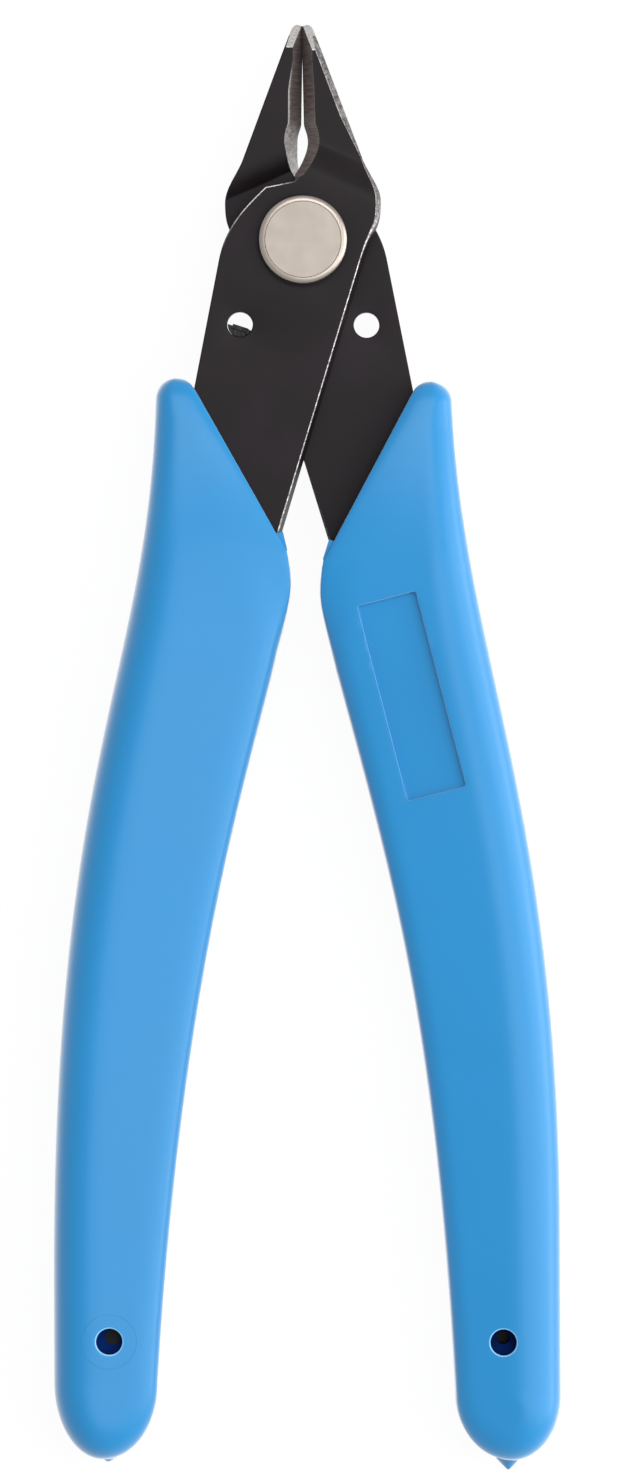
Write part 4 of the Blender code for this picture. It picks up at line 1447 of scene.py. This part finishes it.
        plain = Edge.even(self.edge_round, bare=0.04, wall=0.04)
        deep = self.thickness - self.edge_land
        shallow = float(self.front_height(self.jaw_reach)) + self.half - self.edge_land
        low, high = self.throat_bare
        at_foot, at_wide, at_closed, at_middle, at_meeting, at_tip = (
            Edge(width, drop, flat=1.0, bare=bare, wall=0.1, ridge=ridge, ground=self.bevel_ground)
            for width, drop, bare, ridge in (
                (self.bevel_at_foot, deep, low, 0.05), (self.bevel_at_throat, deep, (low + high) / 2, 0.1),
                (self.bevel_at_throat, deep, high, self.ridge_bare),
                (self.bevel_at_middle, deep, 0.03, self.ridge_bare), (self.bevel_at_nose, deep, 0.02, 0.04),
                (self.bevel_at_tip, shallow, 0.02, 0.1)))
        return [
            Trim(bezier([
                (tip + self.tip_flat, self.jaw_reach), (tip + 2 * self.tip_flat, self.jaw_reach),
                (nose_end[0] - slope * self.tip_round / 2, self.jaw_reach - self.tip_round / 2), nose_end],
                14), fine),
            Trim(line(nose_end, cheek, 10), nose, jaw),
            Trim(line(cheek, broad, 24), jaw),
            Trim(line(broad, root, 26), jaw, thin),
            Trim(bezier([
                root, (root[0] + slope * lead, root[1] - lead),
                (shoulder[0], shoulder[1] + lead), shoulder], 30), thin, broadened),
            Trim(bezier([
                shoulder, (shoulder[0], shoulder[1] - waist_lead / 2),
                (inner_top[0] + math.tan(self.inner_splay) * into_waist, inner_top[1] + into_waist),
                inner_top], 30), broadened, sheared),
            Trim(line(inner_top, crotch, 30), sheared),
            Trim(line(crotch, tuple(down[0]), 24), sheared, worn),
            Trim(np.concatenate([down, end, back]), plain),
            Trim(line(tuple(back[-1]), outer_foot, 30)[1:], plain),
            Trim(bezier([
                outer_foot, (outer_foot[0] + math.tan(self.outer_splay) * outer_lead,
                             outer_foot[1] + outer_lead),
                (corner[0] + corner_lead, corner[1] + corner_lead), corner], 30), plain, bright),
            Trim(line(corner, notch, 20), bright, dim),
            Trim(line(notch, foot, 6), dim, at_foot),
            Trim(bezier([
                foot, (foot[0] + self.throat_lead[0], foot[1] + self.throat_lead[1]),
                (wide[0], wide[1] - self.throat_swell / 3), wide], 22), at_foot, at_wide),
            Trim(bezier([
                wide, (wide[0], wide[1] + self.throat_close / 2),
                (throat, closed[1] - self.throat_close / 3), closed], 16), at_wide, at_closed),
            Trim(line(closed, middle, 20), at_closed, at_middle),
            Trim(line(middle, meeting, 20), at_middle, at_meeting),
            Trim(line(meeting, (tip, self.nose_start), 6), at_meeting),
            Trim(line((tip, self.nose_start), (tip, self.jaw_reach), 16), at_meeting, at_tip),
        ]

    def inward(self, points: Array) -> Array:
        """Find the mitred direction into the outline: the normals on both sides, added and lengthened.

        Args:
            points: the outline, clockwise, as (points, 2).

        Returns:
            One direction for each point, as long as an inset of 1 needs.
        """
        before = unit(points - np.roll(points, 1, axis=0))
        after = unit(np.roll(points, -1, axis=0) - points)
        normal = unit(np.stack([before[:, 1] + after[:, 1], -(before[:, 0] + after[:, 0])], axis=1))
        lean = normal[:, 0] * after[:, 1] - normal[:, 1] * after[:, 0]
        return normal / np.maximum(lean, self.mitre_limit)[:, None]

    def rim_grid(self) -> tuple[Array, Array]:
        """Carry the edge's profile round the outline.

        From the front face the profile drops along a quarter ellipse, or a ground flat, then down the
        wall and round the back edge.

        Returns:
            Points as (profile points, outline points, 3) without the joggle, and their marks.
        """
        trims = self.outline()
        points = np.concatenate([trim.points for trim in trims])
        rows = np.concatenate([trim.rows() for trim in trims]).T
        inset, drop, flat, bare, wall, ridge, ground, taper = rows
        into = self.inward(points)
        t = np.linspace(0.0, 1.0, 8)[:, None]
        curve = QUARTER * t
        front_in = taper + inset * ((1 - flat) * (1 - np.sin(curve)) + flat * (1 - t))
        front_down = drop * ((1 - flat) * (1 - np.cos(curve)) + flat * t)
        lead_in = (taper + inset + self.mark_edge)[None]
        blank = np.zeros((1, len(points)))
        back_in = np.broadcast_to(self.back_round * (1 - np.cos(curve)), front_in.shape)
        offset = np.concatenate([lead_in, front_in, taper[None], back_in])
        place = points[None] + into[None] * offset[..., None]
        down = np.concatenate([blank, front_down, front_down[-1:] + self.mark_edge])
        upper = self.front_height(place[:len(down), :, 1]) - down
        lower = np.broadcast_to(-self.half + self.back_round * (1 - np.sin(curve)), front_in.shape)
        height = np.concatenate([upper, np.minimum(lower, upper[-1] - self.least_wall)])
        worn = np.concatenate([
            blank, np.maximum(bare, ridge)[None], np.broadcast_to(bare, front_in[1:].shape),
            wall[None], np.broadcast_to(wall, front_in[1:].shape), blank])
        nose = self.nose_bare * (place[0, :, 1] > self.nose_start - WELD)
        worn[0] = np.maximum(worn[0], nose)
        worn[1:len(down)] = np.maximum(worn[1:len(down)], nose * (flat == 0.0))
        cut = np.zeros(worn.shape)
        cut[1:1 + len(front_in)] = ground
        return np.concatenate([place, height[..., None]], axis=-1), np.stack([worn, cut], axis=-1)

    def hole_grid(self, place: Pair, radius: float) -> Array:
        """Carry a softened wall round a hole, front rim to back rim.

        Args:
            place: middle of the hole.
            radius: its radius.

        Returns:
            Points as (profile points, points round the hole, 3).
        """
        turn = quarter_turn(5)
        grown = self.hole_round * (1 - np.sin(turn))
        radii = radius + np.concatenate([grown, grown[::-1]])[:, None]
        sunk = self.half - self.hole_round * (1 - np.cos(turn))
        heights = np.concatenate([sunk, -sunk[::-1]])[:, None]
        angles = full_turn(56)[None]
        grid = [place[0] + radii * np.cos(angles), place[1] + radii * np.sin(angles), heights + 0 * angles]
        return np.stack(grid, axis=-1)

    def scattered(self) -> Array:
        """Scatter points where the faces bend: in rows along the joggle and across the ground nose.

        Returns:
            Points as (points, 2), with the jaw at +X.
        """
        near, far = (np.linspace(-1.2, 1.2, 11) * ease for ease in self.bend_eases)
        along = self.bend_start + np.unique(np.concatenate([near, self.bend_length + far]).round(6))
        aside = np.arange(-self.bend_reach, self.bend_reach, self.bend_spacing)
        a, b = np.meshgrid(along, aside, indexing="ij")
        c, s = math.cos(self.bend_turn), math.sin(self.bend_turn)
        joggle = np.stack([a * s + b * c, a * c - b * s], axis=-1).reshape(-1, 2)
        rows = self.nose_start + np.array(self.nose_rows) * self.nose_length
        nose = np.stack(np.meshgrid(np.arange(*self.nose_columns), rows, indexing="ij"), axis=-1)
        return np.concatenate([joggle, nose.reshape(-1, 2)])

    def shell(self) -> Shell:
        """Close the rim with its two faces, pierce the holes and bend the joggle.

        Returns:
            The closed blade, in the frame.
        """
        rim, marks = self.rim_grid()
        bores = (((0.0, 0.0), self.bore_radius), (self.hole_place(), self.hole_radius))
        holes = [self.hole_grid(place, radius) for place, radius in bores]
        shell = Shell.from_grid(rim, marks)
        for hole in holes:
            shell = shell + Shell.from_grid(hole)
        for row in (0, -1):
            loops = [rim[row, :, :2], *(hole[row, :, :2] for hole in holes)]
            points, faces = flat_face(loops, self.scattered())
            front = row == 0
            height = self.front_height(points[:, 1]) if front else np.full(len(points), -self.half)
            nose = np.where(points[:, 1] > self.nose_start - WELD, self.nose_bare * front, 0.0)
            face_marks = np.column_stack([nose, np.zeros(len(nose))])
            shell = shell + Shell(np.column_stack([points, height]), [faces], face_marks)
        x, y, z = shell.points.T
        shell.points = np.column_stack([self.layer.value * x, y, z + self.raised(x, y)]) + self.pivot
        return shell

    def build(self, name: str) -> bpy.types.Object:
        """Model the blade."""
        return self.shell().build(name)


@dataclass
class Rivet:
    """The big-headed rivet: flat head with a rolled rim in front, shank, and the closed tail behind."""

    pivot: Array
    half_stack: float = HALF_STACK
    seat_gap: float = 0.1 * MM
    head_radius: float = 3.9 * MM
    head_height: float = 1.1 * MM
    face_radius: float = 3.34 * MM
    rim_height: float = 0.30 * MM
    groove: float = 0.06 * MM
    shank_radius: float = 2.3 * MM
    tail_radius: float = 3.3 * MM
    tail_height: float = 0.9 * MM
    tail_round: float = 0.5 * MM

    def build(self, name: str) -> bpy.types.Object:
        """Turn the profile: rounded tail, shank, rolled rim, fine groove and flat face.

        Args:
            name: name of the object.

        Returns:
            The rivet.
        """
        base = self.half_stack + self.seat_gap
        head, tail = base + self.head_height, -base - self.tail_height
        turn = quarter_turn(14)
        tail_edge = np.stack([
            self.tail_radius - self.tail_round * (1 - np.sin(turn)),
            tail + self.tail_round * (1 - np.cos(turn))], axis=1)
        rim = self.head_radius - self.face_radius - self.groove
        rim_edge = np.stack([
            self.head_radius - rim * (1 - np.cos(turn)), head - self.rim_height * (1 - np.sin(turn))], axis=1)
        groove = np.array([(self.face_radius + self.groove / 2, head - self.groove)])
        low = np.array([(self.tail_radius, -base), (self.shank_radius, -base)])
        high = np.array([(self.shank_radius, base), (self.head_radius, base)])
        tail_face = at_level(np.linspace(0.0, tail_edge[0, 0], 6, endpoint=False), tail)
        head_face = at_level(np.linspace(self.face_radius, 0.0, 8), head)
        profile = np.concatenate([tail_face, tail_edge, low, high, rim_edge, groove, head_face])
        return lathe(profile, self.pivot, 128).build(name)


@dataclass
class ReturnSpring:
    """Flat strip on edge: tab in the front plate's hole, bend, leg along the rear plate, curled end."""

    plate: Blade
    pivot: Array
    strip_thickness: float = 0.45 * MM
    strip_height: float = 1.6 * MM
    corner: float = 0.08 * MM
    tab_clearance: float = 0.27 * MM
    tab_tilt: float = math.radians(18)
    tab_drop: float = 0.35 * MM
    tab_sink: float = 0.40 * MM
    foot_chord: float = 0.27 * MM
    foot_clearance: float = 0.05 * MM
    bend: float = 1.0 * MM
    reach: float = 19.2 * MM
    clearance: float = 0.3 * MM
    curl: float = 0.4 * MM
    curl_length: float = 1.2 * MM

    def route(self) -> tuple[Array, int]:
        """Draw the strip's centre line: straight tab, round bend, Bezier leg and curl.

        Returns:
            Points as (points, 2), and how many belong to the tab.
        """
        plate, tilt, splay = self.plate, self.tab_tilt, self.plate.inner_splay
        lead = np.array([math.cos(tilt), -math.sin(tilt)])
        low = self.tab_drop + self.strip_thickness / 2
        half_tab = math.sqrt(plate.hole_radius ** 2 - low ** 2) - self.tab_clearance
        middle = np.array(plate.hole_place()) - (0.0, self.tab_drop)
        tab = line(tuple(middle - lead * half_tab), tuple(middle + lead * half_tab), 10)
        end = middle + lead * half_tab
        angle = np.linspace(tilt, QUARTER - splay, 16)
        turn = end + self.bend * np.stack([
            np.sin(angle) - math.sin(tilt), np.cos(angle) - math.cos(tilt)], axis=1)
        drop = self.reach - self.curl_length
        stand_off = (self.clearance + self.strip_thickness / 2) / math.cos(splay)
        touch = np.array([plate.straight_inner(drop) - stand_off, -drop])
        slope = np.array([math.tan(splay), -1.0])
        step = (drop + turn[-1, 1]) / 3
        leg = bezier([tuple(turn[-1]), tuple(turn[-1] + slope * step), tuple(touch - slope * step),
                      tuple(touch)], 40)
        last = np.array([touch[0] - self.curl, -self.reach])
        third = self.curl_length / 3
        curl = bezier([tuple(touch), tuple(touch + slope * third), (touch[0], last[1] + third), tuple(last)],
                      14, True)
        return np.concatenate([tab, turn[:-1], leg, curl]), len(tab)

    def foot(self) -> Shell:
        """Draw the tab's foot: the part of the hole under a slanting chord, as deep as the plate.

        Returns:
            The closed foot, in the frame.
        """
        plate = self.plate
        radius = plate.hole_radius - self.foot_clearance
        reach = math.acos(self.foot_chord / radius)
        turn = np.linspace(-reach, reach, 32)[:, None]
        along = np.array([math.cos(self.tab_tilt), -math.sin(self.tab_tilt)])
        down = np.array([-math.sin(self.tab_tilt), -math.cos(self.tab_tilt)])
        outline = np.array(plate.hole_place()) + radius * (along * np.sin(turn) + down * np.cos(turn))
        low, high = plate.plate_gap / 2, plate.plate_gap / 2 + plate.thickness - self.tab_sink - self.corner
        return capped(np.stack([at_level(outline, level) for level in (low, high)]) + self.pivot)

    def build(self, name: str) -> bpy.types.Object:
        """Sweep a rounded oblong along the route, taller over the tab, and join the tab's foot to it.

        Args:
            name: name of the object.

        Returns:
            The spring.
        """
        route, tab_points = self.route()
        ahead = unit(np.gradient(route, axis=0))
        aside = np.stack([-ahead[:, 1], ahead[:, 0]], axis=1)
        middle = -(self.plate.plate_gap + self.plate.thickness) / 2
        low, high = middle - self.strip_height / 2, middle + self.strip_height / 2
        tab_top = self.plate.plate_gap / 2 + self.plate.thickness - self.tab_sink
        number = np.arange(len(route))
        top = high + (tab_top - high) * (1.0 - smoothstep(tab_points - 1.0, tab_points + 2.0, number))
        signs, angle = oblong(5)
        out = signs[:, 0] * (self.strip_thickness / 2 - self.corner) + self.corner * np.cos(angle)
        level = np.where(signs[:, 1] > 0, top[:, None] - self.corner, low + self.corner)
        height = level + self.corner * np.sin(angle)
        plan = route[:, None] + aside[:, None] * out[None, :, None]
        strip = capped(np.concatenate([plan, height[..., None]], axis=-1) + self.pivot).build(name)
        combine(strip, self.foot(), "UNION")
        shade(strip)
        return strip


# Studio


@dataclass(frozen=True)
class Softbox:
    """One lamp: where it hangs, its two sides, and how bright it makes a white face turned to it."""

    name: str
    place: tuple[float, float, float]
    size: Pair
    level: float

    def build(self, aim: Array) -> None:
        """Hang the lamp, pointed at the object. A lamp of power P gives a face P / (pi d)^2.

        Args:
            aim: the point that it faces.
        """
        lamp = bpy.data.lights.new(self.name, "AREA")
        lamp.shape = "RECTANGLE"
        lamp.size, lamp.size_y = self.size
        towards = Vector(aim) - Vector(self.place)
        lamp.energy = self.level * (math.pi * towards.length) ** 2
        thing = linked(self.name, lamp)
        thing.location = self.place
        thing.rotation_euler = towards.to_track_quat("-Z", "Y").to_euler()


@dataclass
class Studio:
    """Camera straight above, soft lamps, and a white floor that keeps a faint shadow."""

    pivot: Array
    distance: float = 900.0 * MM
    image: tuple[int, int] = (628, 1470)
    pivot_pixel: Pair = (303.0, 241.0)
    pixels_per_metre: float = 11290.0
    roll: float = math.radians(-0.21)
    sensor: float = 36.0
    clip: Pair = (0.01, 10.0)
    floor_drop: float = 0.05 * MM
    floor_size: float = 3.0
    fill: float = 0.68
    floor_white: float = 0.95
    board: Colour = (0.9, 0.9, 0.9)
    lamps: tuple[Softbox, ...] = (
        Softbox("overhead_right", (0.155, -0.05, 0.48), (0.14, 0.30), 0.25),
        Softbox("side_right", (0.383, -0.01, 0.325), (0.40, 0.24), 0.50),
        Softbox("low_right", (0.494, 0.0, 0.082), (0.34, 0.26), 0.75),
        Softbox("overhead_back", (0.04, 0.211, 0.457), (0.30, 0.14), 0.32),
    )

    def camera(self) -> None:
        """Hang the camera so that the pivot falls on its pixel at the photograph's scale."""
        right = np.array([math.cos(self.roll), math.sin(self.roll)])
        up = np.array([-math.sin(self.roll), math.cos(self.roll)])
        aside = (self.pivot_pixel[0] - self.image[0] / 2) / self.pixels_per_metre
        above = (self.image[1] / 2 - self.pivot_pixel[1]) / self.pixels_per_metre
        centre = self.pivot[:2] - aside * right - above * up
        camera = bpy.data.cameras.new("camera")
        camera.sensor_width = self.sensor
        camera.lens = self.sensor * self.distance * self.pixels_per_metre / self.image[1]
        camera.clip_start, camera.clip_end = self.clip
        thing = linked("camera", camera)
        thing.location = (*centre, self.pivot[2] + self.distance)
        thing.rotation_euler = (0.0, 0.0, self.roll)
        bpy.context.scene.camera = thing

    def floor(self) -> None:
        """Lay the floor: nearly white to the camera and to reflections, a plain white board to light."""
        material, graph = new_material("floor")
        board = graph.node("BsdfDiffuse", None, {"Color": (*self.board, 1.0)})
        white = graph.node("Emission", None, {"Color": WHITE, "Strength": 1.0})
        graph.end(graph.node("MixShader", None, {0: graph.seen() * self.floor_white, 1: board, 2: white}))
        half = self.floor_size / 2
        corners = np.array([(-half, -half), (half, -half), (half, half), (-half, half)])
        mesh = bpy.data.meshes.new("floor")
        mesh.from_pydata(at_level(corners, -self.floor_drop).tolist(), [], [(0, 1, 2, 3)])
        mesh.materials.append(material)
        thing = linked("floor", mesh)

    def world(self) -> None:
        """Surround the object with white for the camera and reflections, and a softer fill for light."""
        world = bpy.data.worlds.new("studio")
        bpy.context.scene.world = world
        graph = Graph(world)
        level = graph.node("MapRange", None, {"Value": graph.seen(), "To Min": self.fill, "To Max": 1.0})
        sky = graph.node("Background", None, {"Color": WHITE, "Strength": level})
        graph.end(sky, "OutputWorld")

    def build(self) -> None:
        """Set the studio up."""
        bpy.context.scene.view_settings.view_transform = "Standard"
        self.world()
        self.floor()
        self.camera()
        for lamp in self.lamps:
            lamp.build(np.array([0.0, 0.0, self.pivot[2]]))


@dataclass
class FlushCutter:
    """The whole tool: two blades on a rivet, a return spring and two grips."""

    pivot: Array
    steel: BlackOxide = BlackOxide()
    nickel: Nickel = Nickel()
    strip: BluedStrip = BluedStrip()
    rubber: GripRubber = GripRubber()

    def take(self, piece: bpy.types.Object, node: str, body: str | None,
             material: bpy.types.Material) -> None:
        """Dress a piece and let it stand for its CAD node.

        Args:
            piece: the finished object.
            node: the node that it stands for.
            body: the body that it rides on, or None for a piece between two bodies, which is left on neither.
            material: its finish.
        """
        piece.data.materials.clear()
        piece.data.materials.append(material)
        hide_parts(node)
        if body:
            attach(piece, body)
        log.info("%s: %d faces", piece.name, len(piece.data.polygons))

    def right_grip(self) -> Grip:
        """Size the right grip, which sits a little lower on its tang than the left one.

        Returns:
            The right grip.
        """
        return Grip(
            Side.RIGHT, self.pivot, reach=107.9 * MM, top=12.5 * MM, top_spread=13.13 * MM,
            mouth_fall=0.79 * MM, notch=28.5 * MM, notch_spread=1.665 * MM, flare=0.78 * MM,
            flash=(26.75 * MM, 2.90 * MM, 2.20 * MM), end_spread=22.42 * MM,
            outer_depths=(36.0 * MM, 49.4 * MM, 87.2 * MM), palm_spreads=(1.18 * MM, 1.40 * MM, 2.86 * MM),
            palm_depths=(32.08 * MM, 31.93 * MM, 38.1 * MM), inner_flare=7.90 * MM,
            inner_sweep=11.52 * MM, inner_end_spread=13.16 * MM, inner_depths=(57.0 * MM, 69.6 * MM),
            end_round=5.8 * MM, end_shift=0.38 * MM, outer_power=2.0,
            inner_round=2.0 * MM, palm_round=2.2 * MM,
            pin_shift=-0.32 * MM, pin_depth=2.6 * MM, bore_radius=0.58 * MM, bore_shift=(0.0, 0.33 * MM),
            gate_radius=1.05 * MM, gate_length=0.95 * MM, gate_shift=0.0)

    def rear_blade(self, grip: Grip) -> Blade:
        """Size the rear blade, whose jaw is ground less and keeps its oxide along the outside.

        Args:
            grip: the grip on its tang.

        Returns:
            The rear blade.
        """
        return Blade(
            Layer.REAR, self.pivot, grip, bevel_at_nose=0.82 * MM, bevel_at_middle=1.18 * MM,
            bevel_at_throat=1.15 * MM, bevel_at_foot=0.55 * MM, bevel_ground=0.52, ridge_bare=1.0,
            throat_bare=(0.78, 0.16), nose_chamfer=0.06 * MM, jaw_chamfer=0.10 * MM,
            root_chamfer=0.10 * MM, shoulder_chamfer=0.10 * MM, jaw_bare=0.04, edge_bare=0.10,
            wall_taper=0.0, throat_overlap=-0.12 * MM, nose_length=2.05 * MM,
            bend_length=1.2 * MM, bend_eases=(0.2 * MM, 2.0 * MM))

    def build(self) -> None:
        """Build and dress every piece, in the order in which the tool is put together."""
        left, right = Grip(Side.LEFT, self.pivot), self.right_grip()
        front, rear = Blade(Layer.FRONT, self.pivot, left), self.rear_blade(right)
        steel = self.steel.material("black_oxide")
        rubber = self.rubber.material("blue_rubber")
        self.take(front.build("front_blade_steel"), "front_blade", "front_half", steel)
        self.take(rear.build("rear_blade_steel"), "rear_blade", "rear_half", steel)
        rivet = Rivet(self.pivot)
        self.take(rivet.build("pivot_rivet_turned"), "pivot_rivet", "front_half",
                  self.nickel.material("nickel", self.pivot, rivet.face_radius))
        spring = ReturnSpring(front, self.pivot)
        strip = spring.build("return_spring_strip")
        self.take(strip, "return_spring", None, self.strip.material("blued_strip"))
        route, tab_points = spring.route()
        start, end = (np.append(point, 0.0) + self.pivot for point in (route[tab_points], route[-1]))
        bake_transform(strip)
        self.take(left.build("left_grip_moulding", front), "left_grip", "front_half", rubber)
        self.take(right.build("right_grip_moulding", rear), "right_grip", "rear_half", rubber)


def main() -> None:
    """Load the frame, and build the tool and the studio."""
    logging.basicConfig(level=logging.INFO, format="%(name)s: %(message)s")
    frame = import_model()
    pivot = np.array(frame["joints"][0]["pos_m"], float)
    FlushCutter(pivot).build()
    Studio(pivot).build()


if __name__ == "__main__":
    main()
